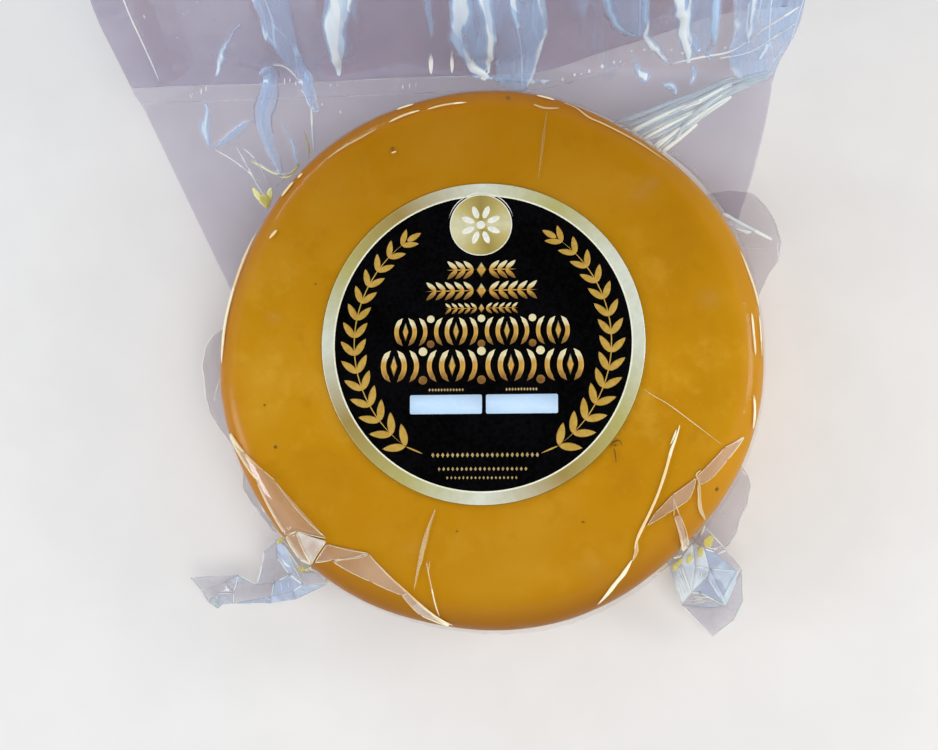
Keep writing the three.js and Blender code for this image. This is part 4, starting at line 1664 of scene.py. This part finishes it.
@dataclass
class ShoulderFolds:
    """Milky facets of folded film that lie over the two front shoulders.

    A facet is its corners, each a turn and a reach along the rind, and how bright it shows.
    """

    lift: float = 0.55
    bubble: float = 0.5
    cuts: int = 7
    thickness: float = 0.16
    facets: tuple[tuple[tuple[Point, ...], float], ...] = (
        (((197.5, 76.2), (203, 73), (208.8, 69.7), (212, 68.2), (230.5, 67), (224.3, 71.4),
          (222.9, 75.2), (209.8, 72.9)), 0),
        (((224.3, 71.6), (230.9, 67.7), (231.2, 76)), 0.45),
        (((223.2, 75.6), (224.3, 71.6), (231.2, 76.1), (228.5, 78.6)), 0.1),
        (((231.5, 68.1), (240.8, 63.7), (240.4, 65.2), (234.6, 70.4), (231.7, 74.5)), 0.12),
        (((234.8, 70.8), (240.8, 63.7), (253, 69.5), (251.9, 70.5), (244.5, 70.1)), 0),
        (((253, 69.5), (258.7, 73.6), (263, 77.2), (256.8, 74.7), (251.9, 70.5)), 0.35),
        (((340.6, 74.2), (336.9, 70.1), (328.2, 67.2), (327.1, 69.2), (329.6, 70.8),
          (334.7, 72.1)), 0),
        (((328, 67.3), (321.6, 65), (315.6, 64.8), (312.3, 65.7), (317.5, 67.2), (323, 69.1),
          (325.2, 68.6)), 0),
        (((321.3, 65.6), (319.1, 69.8), (315.5, 79.6), (314.1, 79.2), (318, 69)), 0.25),
    )

    def draped(self, outline: Sequence[Point], glare: float) -> BMesh:
        """Lay one facet over the shoulder.

        Args:
            outline: Its corners as turn and reach along the rind.
            glare: How bright it shows.

        Returns:
            A subdivided sheet a little above the rind.
        """
        corners = [WHEEL.place(turn, reach, self.lift) for turn, reach in outline]
        bm = facet(corners, self.cuts)
        layer = bm.verts.layers.float["glare"]
        middle = sum(corners, Vector()) / len(corners)
        size = max((corner - middle).length for corner in corners)
        for vert in bm.verts:
            centred = max(0.0, 1.0 - (vert.co - middle).length / size)
            top = WHEEL.top_under(vert.co.x, vert.co.y) + self.lift
            vert.co.z = max(vert.co.z, top) + self.bubble * centred
            vert[layer] = glare + 0.1 * noise(vert.co / 3.0)
        return bm

    def build(self, milky: Material, bright: Material) -> None:
        """Make the facets and the bright lines round them.

        Args:
            milky: The finish of the facets.
            bright: The finish of their edges.
        """
        sheets = [self.draped(outline, glare) for outline, glare in self.facets]
        thicken(finish(joined(sheets), "film_shoulder_folds", milky, Slot.FILM), self.thickness)
        rims = []
        for seed, (outline, _) in enumerate(self.facets):
            for start, end in zip(outline, outline[1:] + outline[:1]):
                path = (start, tuple(between(a, b, 0.5) for a, b in zip(start, end)), end)
                rims.append(ridge_mesh(Ridge(path, 0.26, 0.8, 0.78, 0.08), Ground.WHEEL, seed))
        finish(joined(rims), "film_fold_lines", bright, Slot.FILM)


@dataclass
class SideFins:
    """Flat fins of film where the bag's two films meet beside the wheel.

    A rim is its name, its height, the fin's glare, the glare of its edge, and corners as a
    distance from the axis and a turn. A mark is a height, a width, a glare and such corners.
    """

    thickness: float = 0.2
    rim_width: float = 0.44
    rims: tuple[tuple[str, float, float, float, tuple[Point, ...]], ...] = (
        ("left", 25, 0.12, 0.8, ((79.8, 171.5), (84.4, 173.2), (86.8, 175.6), (88.1, 178.5),
            (87.5, 184), (86.6, 190), (84.4, 193.5), (82, 197.5), (79.5, 200))),
        ("right", 25, 0, 0.4, ((82, 37), (91.3, 33), (93.3, 30), (94, 26.5), (93, 22.5),
            (90.5, 19), (86, 16.5), (82, 13.5), (79.5, 11))),
        ("front_right", 20, 0, 0.45, ((79.5, -23), (84.6, -26), (86.7, -33), (87.7, -39),
            (79.5, -42.5))),
        ("front_left", 22, 0.12, 0.6, ((79.5, 201), (82.6, 204), (83.9, 207.5), (83.4, 213.5),
            (82, 219), (79, 221))),
    )
    marks: tuple[tuple[float, float, float, tuple[Point, ...]], ...] = (
        (25.6, 1.3, 0.8, ((81.6, 31.9), (84.1, 28.6), (87, 25.6), (90.4, 22.4))),
        (25.5, 2.2, 0.5, ((81.4, 29.9), (83.4, 27.6), (85.6, 25.4))),
        (25.4, 0.5, 0.5, ((80.8, 24), (84, 22.6), (87.6, 21.6))),
        (20.4, 0.45, 0.9, ((80, 326.1), (82.8, 326.5), (86, 326.8))),
        (25.5, 0.5, 0.6, ((80.4, 181), (83, 184.5), (84.6, 188))),
    )

    def build(self, film: Material, bright: Material) -> None:
        """Make the fins and the bright lines along their rims.

        Args:
            film: The finish of the fins.
            bright: The finish of their rims.
        """
        sheets, lines = [], []
        for name, z, glare, shown, rim in self.rims:
            sheets.append(self.fin(z, glare, rim))
            lines.append(self.line(z, self.rim_width, shown, rim, True))
            LOG.info("fin %s: %d corners", name, len(rim))
        lines += [self.line(z, width, shown, path, False) for z, width, shown, path in self.marks]
        piece = finish(joined(sheets), "film_fins", film, Slot.FILM, closed=False)
        thicken(piece, self.thickness)
        finish(joined(lines), "film_fin_rims", bright, Slot.FILM)

    def ragged(self, turn: float, z: float) -> float:
        """How far a fin's edge strays from its plain outline."""
        return 0.6 * noise(Vector((turn / 2.6, z, 4.0))) - 0.2

    def wave(self, radius: float, turn: float, z: float) -> float:
        """How far a fin rises or sinks at a place."""
        return 0.7 * noise(Vector((radius / 6.0, turn / 5.0, z)))

    def fin(self, z: float, glare: float, rim: Sequence[Point]) -> BMesh:
        """One fin between the wheel's waist and its rim.

        Args:
            z: Its height.
            glare: How bright it shows.
            rim: The rim's radii and turns.

        Returns:
            The sheet.
        """

        def place(u: float, v: float) -> Vector:
            """A point of the fin, u along it and v outwards."""
            radius, turn = along(rim, u)
            a = radians(turn)
            waist = WHEEL.radius + WHEEL.out_of_round(a) + 0.4
            radius += self.ragged(turn, z)
            rise = self.wave(radius * v, turn, z) * v
            return polar(between(waist, max(radius, waist + 0.05), v), turn, z + rise)

        return woven(40, 12, place, lambda u, v: glare + 0.12 * v ** 4)

    def line(self, z: float, width: float, shown: float, path: Sequence[Point],
             on_rim: bool) -> BMesh:
        """A thin rounded line along a fin's outer edge or across it.

        Args:
            z: Its height.
            width: Its width.
            shown: How bright it shows.
            path: Its radii and turns.
            on_rim: True to follow the ragged edge.

        Returns:
            A thin tube.
        """

        def place(u: float, v: float) -> Vector:
            """A point of the line, u round it and v along it."""
            radius, turn = along(path, v)
            rise = 0.0
            if on_rim:
                radius += self.ragged(turn, z)
                rise = self.wave(radius, turn, z)
            a = u * FULL_TURN
            full = width / 2 * min(1.0, 12.0 * min(v, 1.0 - v))
            high = min(full, 0.22)
            return polar(radius + full * cos(a), turn, z + rise + high * sin(a))

        return woven(8, 48, place, lambda u, v: shown)


# ---- label


@dataclass
class Label:
    """The round label: black field, gold ring, laurel, medallion, date boxes, ornament."""

    x: float = -0.2
    y: float = 1.8
    foot: float = 50.0
    thickness: float = 0.4
    radius: float = 45.0
    ring: float = 41.5

    @property
    def top(self) -> float:
        """Height of the black field."""
        return self.foot + self.thickness

    @property
    def centre(self) -> Colour:
        """The label's centre in metres."""
        return (self.x * MM, self.y * MM, 0.0)

    def shift(self, bm: BMesh) -> BMesh:
        """Move label artwork from the label's own centre to its place on the wheel."""
        ops.translate(bm, verts=bm.verts, vec=(self.x, self.y, self.top))
        return bm

    def disc(self, radius: float, thickness: float, x: float, y: float, segments: int,
             bevel: float) -> BMesh:
        """A flat disc standing on z = 0, its upper edge bevelled.

        Args:
            radius: Its radius.
            thickness: Its height.
            x: Its place to the right.
            y: Its place upwards.
            segments: The number of its sides.
            bevel: The bevel's width.

        Returns:
            The mesh.
        """
        bm, upper = prism(segments, radius, thickness)
        edges = [e for e in bm.edges if all(v in upper for v in e.verts)]
        ops.bevel(bm, geom=edges, offset=bevel, segments=2, profile=0.5, affect="EDGES",
                  material=-1)
        ops.translate(bm, verts=bm.verts, vec=(x, y, 0.0))
        return bm

    def band(self, inner: float, outer: float, height: float, start: float = 0.0,
             turn: float = 360.0, x: float = 0.0, y: float = 0.0,
             thin_ends: bool = False) -> BMesh:
        """A flat ring or arc with a softly rounded top, standing on z = 0.

        Args:
            inner: Its inner radius.
            outer: Its outer radius.
            height: Its height.
            start: Where it starts, in degrees.
            turn: How far it goes round, in degrees.
            x: Its place to the right.
            y: Its place upwards.
            thin_ends: True to taper both ends.

        Returns:
            The mesh.
        """
        middle, half = (inner + outer) / 2, (outer - inner) / 2

        def place(u: float, v: float) -> Vector:
            """A point of the ring, u round it and v along it."""
            a = radians(start + turn * v)
            b = u * FULL_TURN
            full = min(1.0, 6.0 * min(v, 1.0 - v)) if thin_ends else 1.0
            side = copysign(abs(cos(b)) ** 0.4, cos(b))
            radius = middle + half * full * side
            z = height * max(sin(b), 0.0) ** 0.6 * (full if thin_ends else 1.0)
            return Vector((x + radius * cos(a), y + radius * sin(a), z))

        return woven(12, max(24, int(abs(turn) / 1.5)), place)

    def leaf(self, x: float, y: float, turn: float, length: float, width: float,
             height: float = 0.09) -> BMesh:
        """A pointed leaf with a raised midrib.

        Args:
            x: Its root's place to the right.
            y: Its root's place upwards.
            turn: Where it points, in degrees.
            length: Its length.
            width: Its width.
            height: Its height.

        Returns:
            The mesh.
        """
        a = radians(turn)
        ahead = Vector((cos(a), sin(a), 0.0))
        side = Vector((-sin(a), cos(a), 0.0))

        def place(u: float, v: float) -> Vector:
            """A point of the leaf, u round it and v along it."""
            b = u * FULL_TURN
            full = sin(pi * v ** 0.85) ** 0.8 if 0.0 < v < 1.0 else 0.0
            out = side * (width / 2 * full * cos(b))
            rise = max(sin(b), 0.0) * height * full
            return Vector((x, y, rise)) + ahead * (length * v) + out

        return woven(8, 8, place)

    def lozenge(self, x: float, y: float, wide: float, high: float, relief: float) -> BMesh:
        """A four-sided stud with a raised middle.

        Args:
            x: Its place to the right.
            y: Its place upwards.
            wide: Its width.
            high: Its length.
            relief: Its height.

        Returns:
            The mesh.
        """
        bm, upper = prism(4, 1.0, 1.0)
        ops.scale(bm, verts=upper, vec=(0.55, 0.55, 1.0))
        ops.scale(bm, verts=bm.verts, vec=(wide / 2, high / 2, relief))
        ops.translate(bm, verts=bm.verts, vec=(x, y, 0.0))
        return bm

    def build(self) -> None:
        """Make every piece of the label."""
        black = PrintFinish("label_black", (0.001, 0.001, 0.0012), (0.003, 0.003, 0.0035),
                            0.7, shine=0.0).build()
        bm = self.disc(self.radius, self.thickness, 0.0, 0.0, 256, 0.12)
        ops.translate(bm, verts=bm.verts, vec=(self.x, self.y, self.foot))
        finish(bm, "label_disc", black, Slot.LABEL)
        self.build_ring()
        self.build_laurel()
        self.build_medallion()
        self.build_boxes()
        self.build_ornament()

    def build_ring(self) -> None:
        """The gold ring round the label's edge."""
        ring = RingFinish()
        g, s, w = ring.gold, ring.straw, ring.silver
        turns = ((0.0, w), (0.085, g), (0.17, s), (0.25, w), (0.335, g), (0.42, s), (0.5, w),
                 (0.59, w), (0.67, s), (0.75, w), (0.84, g), (0.92, s), (1.0, w))
        material = ring.build(self.centre, "label_ring_foil", turns)
        bm = self.shift(self.band(self.ring, self.radius - 0.05, 0.16))
        finish(bm, "label_ring", material, Slot.GOLD)
        cream = PrintFinish("label_ring_edge", (0.74, 0.72, 0.52), (0.82, 0.82, 0.68),
                            0.35).build()
        edge = self.shift(self.band(self.ring - 0.3, self.ring + 0.15, 0.2))
        finish(edge, "label_ring_edge", cream, Slot.GOLD)

    def build_laurel(self) -> None:
        """Two laurel branches inside the ring."""
        parts = []
        stem, pairs, end = 35.7, 14, 54.0
        for mirror in (1, -1):
            def leaf(degrees: float, heading: float, length: float, width: float) -> None:
                """Add a leaf of this branch at a place on its arc."""
                a = radians(degrees)
                way = heading if mirror == 1 else 180.0 - heading
                parts.append(self.leaf(mirror * stem * cos(a), stem * sin(a), way, length, width))

            low = -end if mirror == 1 else 180.0 + end
            parts.append(self.band(stem - 0.16, stem + 0.16, 0.07, low, mirror * 2 * end,
                                   thin_ends=True))
            for pair in range(pairs):
                share = pair / (pairs - 1)
                degrees = between(-end, end, share * 0.97)
                size = between(6.5, 5.0, share)
                for sign in (1, -1):
                    tilt = sign * between(42.0, 34.0, share)
                    leaf(degrees, degrees + 90.0 + tilt, size, size * 0.35)
            leaf(end, end + 96.0, 4.6, 1.8)
            leaf(-end, -157.0, 5.2, 0.5)
        gold = PrintFinish("label_leaf_gold", (0.50, 0.30, 0.045), (0.60, 0.38, 0.075),
                           0.36, metallic=0.2).build()
        bm = self.shift(joined(parts))
        finish(bm, "label_laurel", gold, Slot.GOLD)

    def build_medallion(self) -> None:
        """The gold medallion with a plain eight-petal rosette."""
        x, y, radius = -0.1, 33.0, 8.75
        ring = RingFinish((0.36, 0.27, 0.06), (0.56, 0.47, 0.16), (0.74, 0.70, 0.44))
        g, s, w = ring.gold, ring.straw, ring.silver
        turns = ((0.0, w), (0.06, w), (0.2, s), (0.3, g), (0.42, s), (0.5, w), (0.62, s),
                 (0.75, g), (0.88, s), (0.97, w))
        centre = ((self.x + x) * MM, (self.y + y) * MM, 0.0)
        foil = ring.build(centre, "label_medallion_foil", turns)
        bm = self.shift(self.disc(radius, 0.25, x, y, 96, 0.08))
        finish(bm, "label_medallion", foil, Slot.GOLD)
        pale = PrintFinish("label_pale_gold", (0.75, 0.74, 0.62), (0.85, 0.86, 0.80),
                           0.34, metallic=0.1).build()
        parts = [self.band(radius - 0.3, radius, 0.36, x=x, y=y),
                 self.band(9.15, 9.4, 0.3, 12.0, 156.0, x, y, True)]
        for petal in range(8):
            turn = 22.5 + petal * 45.0
            a = radians(turn)
            parts.append(self.leaf(x + 1.3 * cos(a), y + 1.3 * sin(a), turn, 5.6, 2.2, 0.45))
        parts.append(self.disc(1.2, 0.42, x, y, 32, 0.12))
        bm = self.shift(joined(parts))
        finish(bm, "label_rosette", pale, Slot.GOLD)

    def build_boxes(self) -> None:
        """Two blank date boxes."""
        white = PrintFinish("label_box_white", (0.50, 0.69, 0.90), (0.54, 0.72, 0.91),
                            0.45).build()
        parts = []
        for left, right in ((-19.85, 0.12), (1.22, 20.95)):
            bm = bmesh.new()
            ops.create_cube(bm, size=1.0)
            ops.scale(bm, verts=bm.verts, vec=(right - left, 5.3, 0.08))
            upright = [e for e in bm.edges if abs(e.verts[0].co.z - e.verts[1].co.z) > 0.01]
            ops.bevel(bm, geom=upright, offset=0.45, segments=3, profile=0.5,
                      affect="EDGES", material=-1)
            ops.translate(bm, verts=bm.verts, vec=((left + right) / 2, -17.35, 0.04))
            parts.append(bm)
        bm = self.shift(joined(parts))
        finish(bm, "label_date_boxes", white, Slot.LABEL)

    def crescents(self, x: float, y: float, wide: float, high: float, facing: int,
                  relief: float) -> list[BMesh]:
        """Two upright crescents side by side.

        Args:
            x: Its place to the right.
            y: Its place upwards.
            wide: The pair's width.
            high: Their length.
            facing: 1 to bulge outwards, -1 inwards.
            relief: Their height.

        Returns:
            Both meshes.
        """
        arcs = []
        bow, thick = high * 0.65, wide * 0.2
        deep = bow * (1.0 - cos(radians(50.0)))
        for side in (1, -1):
            middle = 0.0 if side * facing == 1 else 180.0
            tip = wide / 2 - bow if facing == 1 else wide / 2 - deep + bow
            arcs.append(self.band(bow - thick, bow, relief, middle - 50.0, 100.0,
                                  x + side * tip, y, True))
        return arcs

    def build_ornament(self) -> None:
        """Plain rows of ornament where a label has its print."""
        rows = ((20.3, 19.6, 5.4, 3, 0.12), (14.4, 31.4, 5.4, 5, 0.12),
                (9.4, 20.5, 3.2, 5, 0.08), (3.0, 49.5, 8.8, 7, 0.3), (-6.6, 57.0, 10.0, 7, 0.35))
        for number, (y, wide, high, count, relief) in enumerate(rows):
            pitch = wide / count
            if high < 6.0:
                parts = self.garland(y, wide, high, count, relief)
            else:
                parts = [part for index in range(count) for part in self.motif(
                    index, -wide / 2 + (index + 0.5) * pitch, y, pitch, high, relief)]
            foil = FoilFinish(f"label_foil_{number}").build(
                (self.y + y - high / 2) * MM, (self.y + y + high / 2) * MM)
            bm = self.shift(joined(parts))
            finish(bm, f"label_row_{number}", foil, Slot.GOLD)
        self.build_beads()

    def garland(self, y: float, wide: float, high: float, pairs: int,
                relief: float) -> list[BMesh]:
        """Two level branches whose leaves point outwards from a stud in the middle.

        Args:
            y: Its place upwards.
            wide: Its width.
            high: Its length upwards.
            pairs: Pairs of leaves on a branch.
            relief: Its height.

        Returns:
            The meshes.
        """
        parts = [self.lozenge(0.0, y, high * 0.5, high * 0.8, relief)]
        length = high * 0.72
        for mirror in (0.0, 180.0):
            way = cos(radians(mirror))
            parts.append(self.leaf(way * high * 0.3, y, mirror, wide / 2 - high * 0.3,
                                   high * 0.07, relief))
            for pair in range(pairs):
                root = between(high * 0.4, wide / 2 - length * 0.8, pair / (pairs - 1))
                for side in (1, -1):
                    parts.append(self.leaf(way * root, y, mirror + side * 42.0, length,
                                           high * 0.25, relief))
        return parts

    def motif(self, index: int, x: float, y: float, pitch: float, high: float,
              relief: float) -> list[BMesh]:
        """One ornament of a row: a stud between crescents, or crescents with two studs.

        Args:
            index: Its place in the row.
            x: Its place to the right.
            y: Its place upwards.
            pitch: The room it has across.
            high: Its length upwards.
            relief: Its height.

        Returns:
            The meshes.
        """
        if index % 2 == 0:
            arcs = self.crescents(x, y, pitch * 0.9, high, 1, relief)
            return arcs + [self.lozenge(x, y, pitch * 0.24, high * 0.6, relief)]
        arcs = self.crescents(x, y, pitch * 0.84, high, -1, relief)
        caps = [self.band(0.0, high * 0.12, relief * 0.8, 0.0, 360.0, x, y + side * high * 0.4)
                for side in (1, -1)]
        return arcs + caps

    def build_beads(self) -> None:
        """Small rows of beads above the boxes and at the label's foot."""
        rows = ((-13.3, -9.8, 10.0, 12, 0.42), (-13.3, 11.0, 9.0, 11, 0.42),
                (-31.3, 0.9, 30.0, 22, 0.6), (-35.1, 0.2, 25.0, 20, 0.5),
                (-37.5, 0.0, 20.0, 18, 0.4))
        parts = []
        for y, middle, wide, count, size in rows:
            for index in range(count):
                x = middle + between(-wide / 2, wide / 2, (index + 0.5) / count)
                parts.append(self.lozenge(x, y, size * 1.5, size * 2.2, 0.08))
        gold = PrintFinish("label_bead_gold", (0.40, 0.28, 0.10), (0.55, 0.40, 0.17),
                           0.4, metallic=0.2).build()
        bm = self.shift(joined(parts))
        finish(bm, "label_beads", gold, Slot.GOLD, sharp=True)


# ---- small marks


@dataclass
class SmallMarks:
    """Specks on the rind and one dry fibre on the film beside the label.

    A speck is its turn and reach on the rind and its half width.
    """

    specks: tuple[Triple, ...] = (
        (113.9, 63.6, 0.45), (204.9, 64, 0.42), (193.9, 63.2, 0.3), (84.2, 73.4, 0.55),
        (328.3, 74.4, 0.55), (299.7, 54.6, 0.3), (262, 50.5, 0.22), (158, 52, 0.22))
    fibre: tuple[tuple[Point, ...], ...] = (
        ((321.1, 44.4), (323.1, 44.1), (324.9, 44.6), (325.1, 45.5), (324.2, 46.8)),
        ((322.0, 45.0), (321.4, 45.9), (320.3, 46.9), (318.6, 48.3)),
        ((322.6, 44.4), (323.4, 45.4)))

    def build(self) -> None:
        """Make the specks and the fibre."""
        brown = PrintFinish("rind_speck", (0.17, 0.065, 0.006), (0.26, 0.11, 0.01), 0.5).build()
        parts = []
        for turn, reach, size in self.specks:
            centre = WHEEL.place(turn, reach, -0.42)
            bm = bmesh.new()
            ops.create_icosphere(bm, subdivisions=2, radius=1.0)
            for vert in bm.verts:
                rough = 1.0 + 0.25 * noise(vert.co * 2.0 + centre)
                vert.co = centre + Vector((vert.co.x * size, vert.co.y * size,
                                           vert.co.z * 0.28)) * rough
            parts.append(bm)
        finish(joined(parts), "rind_specks", brown, Slot.CHEESE)
        dry = PrintFinish("dry_fibre", (0.10, 0.035, 0.008), (0.16, 0.06, 0.012), 0.6).build()
        strands = [Ridge(path, 0.28, 0.3, 0.0, 0.3) for path in self.fibre]
        finish(joined(ridge_meshes(strands, Ground.WHEEL)), "dry_fibre", dry, Slot.CHEESE)


# ---- studio


@dataclass(frozen=True)
class Softbox:
    """A soft light: where it stands, where it points, its size and power."""

    name: str
    place: Colour
    target: Colour
    size: tuple[float, float]
    power: float
    colour: Colour = (1.0, 1.0, 1.0)
    mirrored: bool = True

    def build(self) -> None:
        """Hang the light."""
        data = bpy.data.lights.new(self.name, "AREA")
        data.shape = "RECTANGLE"
        data.size, data.size_y = self.size
        data.energy = self.power
        data.color = self.colour
        lamp = bpy.data.objects.new(self.name, data)
        lamp.location = self.place
        facing = Vector(self.target) - Vector(self.place)
        lamp.rotation_euler = facing.to_track_quat("-Z", "Y").to_euler()
        lamp.visible_glossy = self.mirrored
        bpy.context.scene.collection.objects.link(lamp)


@dataclass
class Studio:
    """Pale floor, soft lights and the camera."""

    camera: Colour = (0.0271, -0.0464, 0.3637)
    target: Colour = (-0.0037, -0.0074, 0.050)
    lens: float = 44.14
    sensor: float = 36.0
    sky: Colour = (0.50, 0.51, 0.54)
    dark_way: Colour = (-0.08, 0.13, 0.988)
    dark_cap: tuple[float, ...] = (0.80, 0.95, 1.0, 0.06)
    boxes: tuple[Softbox, ...] = (
        Softbox("key", (0.10, -0.16, 0.52), (0.0, -0.01, 0.04), (0.30, 0.22), 1.5,
                (1.0, 0.985, 0.96), False),
        Softbox("window", (-0.42, 0.52, 0.42), (0.0, 0.02, 0.04), (0.34, 0.12), 0.8,
                (0.80, 0.90, 1.0)),
        Softbox("right", (0.55, 0.05, 0.34), (0.0, 0.0, 0.04), (0.2, 0.2), 0.9, (1.0, 0.98, 0.95)),
        Softbox("left", (-0.52, -0.12, 0.30), (0.0, 0.0, 0.03), (0.22, 0.22), 0.9,
                (0.92, 0.96, 1.0)),
    )

    def light_sky(self) -> None:
        """A pale sky, dark straight above where the camera and its holder would be."""
        scene = bpy.context.scene
        scene.world = scene.world or bpy.data.worlds.new("sky")
        scene.world.use_nodes = True
        nodes, links = scene.world.node_tree.nodes, scene.world.node_tree.links
        background = nodes["Background"]
        background.inputs["Color"].default_value = (*self.sky, 1.0)
        way = nodes.new("ShaderNodeTexCoord").outputs["Generated"]
        near = nodes.new("ShaderNodeVectorMath")
        near.operation = "DOT_PRODUCT"
        near.inputs[1].default_value = self.dark_way
        links.new(way, near.inputs[0])
        shade = nodes.new("ShaderNodeMapRange")
        shade.interpolation_type = "SMOOTHSTEP"
        for key, value in zip(("From Min", "From Max", "To Min", "To Max"), self.dark_cap):
            shade.inputs[key].default_value = value
        links.new(near.outputs["Value"], shade.inputs["Value"])
        links.new(shade.outputs["Result"], background.inputs["Strength"])

    def build(self) -> None:
        """Set up the stage."""
        floor_paint = PrintFinish("floor_paint", (0.79, 0.78, 0.765), (0.81, 0.80, 0.785),
                                  0.6, grain=40.0).build()
        bm = bmesh.new()
        ops.create_grid(bm, x_segments=8, y_segments=8, size=1.5)
        mesh = bpy.data.meshes.new("floor")
        bm.to_mesh(mesh)
        bm.free()
        mesh.materials.append(floor_paint)
        floor = bpy.data.objects.new("floor", mesh)
        bpy.context.scene.collection.objects.link(floor)
        for box in self.boxes:
            box.build()
        self.light_sky()
        scene = bpy.context.scene
        data = bpy.data.cameras.new("camera")
        data.lens = self.lens
        data.sensor_width = self.sensor
        data.sensor_fit = "HORIZONTAL"
        data.clip_start = 0.01
        camera = bpy.data.objects.new("camera", data)
        camera.location = self.camera
        facing = (Vector(self.target) - Vector(self.camera)).normalized()
        right = facing.cross(Vector((0.0, 1.0, 0.0))).normalized()
        turned = Matrix((right, right.cross(facing), -facing)).transposed()
        camera.rotation_euler = turned.to_euler()
        scene.collection.objects.link(camera)
        scene.camera = camera
        scene.view_settings.view_transform = "Standard"
        scene.cycles.transparent_max_bounces = 32


def main() -> None:
    """Build the stage, then every sub-assembly in turn."""
    logging.basicConfig(level=logging.INFO, format="%(name)s: %(message)s")
    Studio().build()
    rind = RindFinish().build()
    cling = FilmFinish("film_clinging", tint=(0.98, 0.975, 0.97), haze=0.0, glow=0.4, halo=0.1,
                       mirror=0.27, gloss=0.1, ripple=0.12).build()
    loose = FilmFinish("film_loose", tint=(0.90, 0.885, 0.925), milk=(0.36, 0.36, 0.46),
                       cool=(0.46, 0.65, 0.91), shine=(0.85, 0.95, 1.0), haze=0.05, glow=0.92,
                       halo=0.38, mist=0.37, streaks=(300.0, 40.0, 40.0)).build()
    fin = FilmFinish("film_fin", tint=(0.90, 0.885, 0.905), milk=(0.55, 0.53, 0.57),
                     cool=(0.62, 0.62, 0.68), haze=0.06, glow=0.8).build()
    # Peach milk: painted warm light thrown back from the cheese into the folded film.
    milky = FilmFinish("film_milky", tint=(0.985, 0.98, 0.985), milk=(0.90, 0.68, 0.50),
                       cool=(0.88, 0.72, 0.60), haze=0.19, glow=0.6, halo=0.24).build()
    crumpled = FilmFinish("film_crumpled", tint=(0.92, 0.91, 0.94), milk=(0.57, 0.56, 0.61),
                          cool=(0.47, 0.56, 0.74), shine=(0.86, 0.95, 0.94), haze=0.2,
                          glow=0.92, halo=0.45, mist=0.42, chill=0.25,
                          streaks=(120.0, 120.0, 120.0)).build()
    crease = FilmFinish("film_crease", milk=(0.88, 0.61, 0.27), cool=(0.92, 0.71, 0.36),
                        shine=(0.98, 0.91, 0.62), haze=0.1, glow=0.88, halo=0.38).build()
    white_finish = FilmFinish("film_white_crease", tint=(0.99, 0.99, 0.99),
                              milk=(0.66, 0.69, 0.72), cool=(0.70, 0.76, 0.82),
                              shine=(0.93, 0.97, 0.95), haze=0.08, glow=0.85, halo=0.35,
                              mirror=0.5, streaks=(160.0, 160.0, 160.0))
    white = white_finish.build()
    # Mint: painted cyan highlights along the ears' creases.
    mint = replace(white_finish, name="film_mint_crease", milk=(0.66, 0.74, 0.66),
                   cool=(0.70, 0.82, 0.80), shine=(0.88, 0.97, 0.90)).build()
    cream = FilmFinish("film_pleat", tint=(0.99, 0.99, 0.985), milk=(0.70, 0.73, 0.70),
                       cool=(0.66, 0.77, 0.86), shine=(0.96, 0.97, 0.88), haze=0.12,
                       glow=0.82, halo=0.38, mirror=0.5, patchy=0.15).build()
    # Painted yellow reflections of the cheese in folded film.
    yellow_glint = FilmFinish("film_yellow_glint", milk=(0.74, 0.66, 0.10), cool=(0.80, 0.73, 0.13),
                       shine=(0.93, 0.91, 0.45), haze=0.25, glow=0.8, halo=0.5,
                       patchy=0.4, streaks=(90.0, 90.0, 90.0)).build()
    CheeseWheel().build(rind)
    ClingFilm().build(cling)
    LooseFilm().build(loose)
    PleatBundle().build(cream)
    CreasesAndHighlights().build(crease, white)
    YellowGlints().build(yellow_glint)
    ShoulderFolds().build(milky, crease)
    SideFins().build(fin, white)
    for ear in (LEFT_EAR, RIGHT_EAR):
        ear.build(crumpled, mint)
    Label().build()
    SmallMarks().build()


if __name__ == "__main__":
    main()
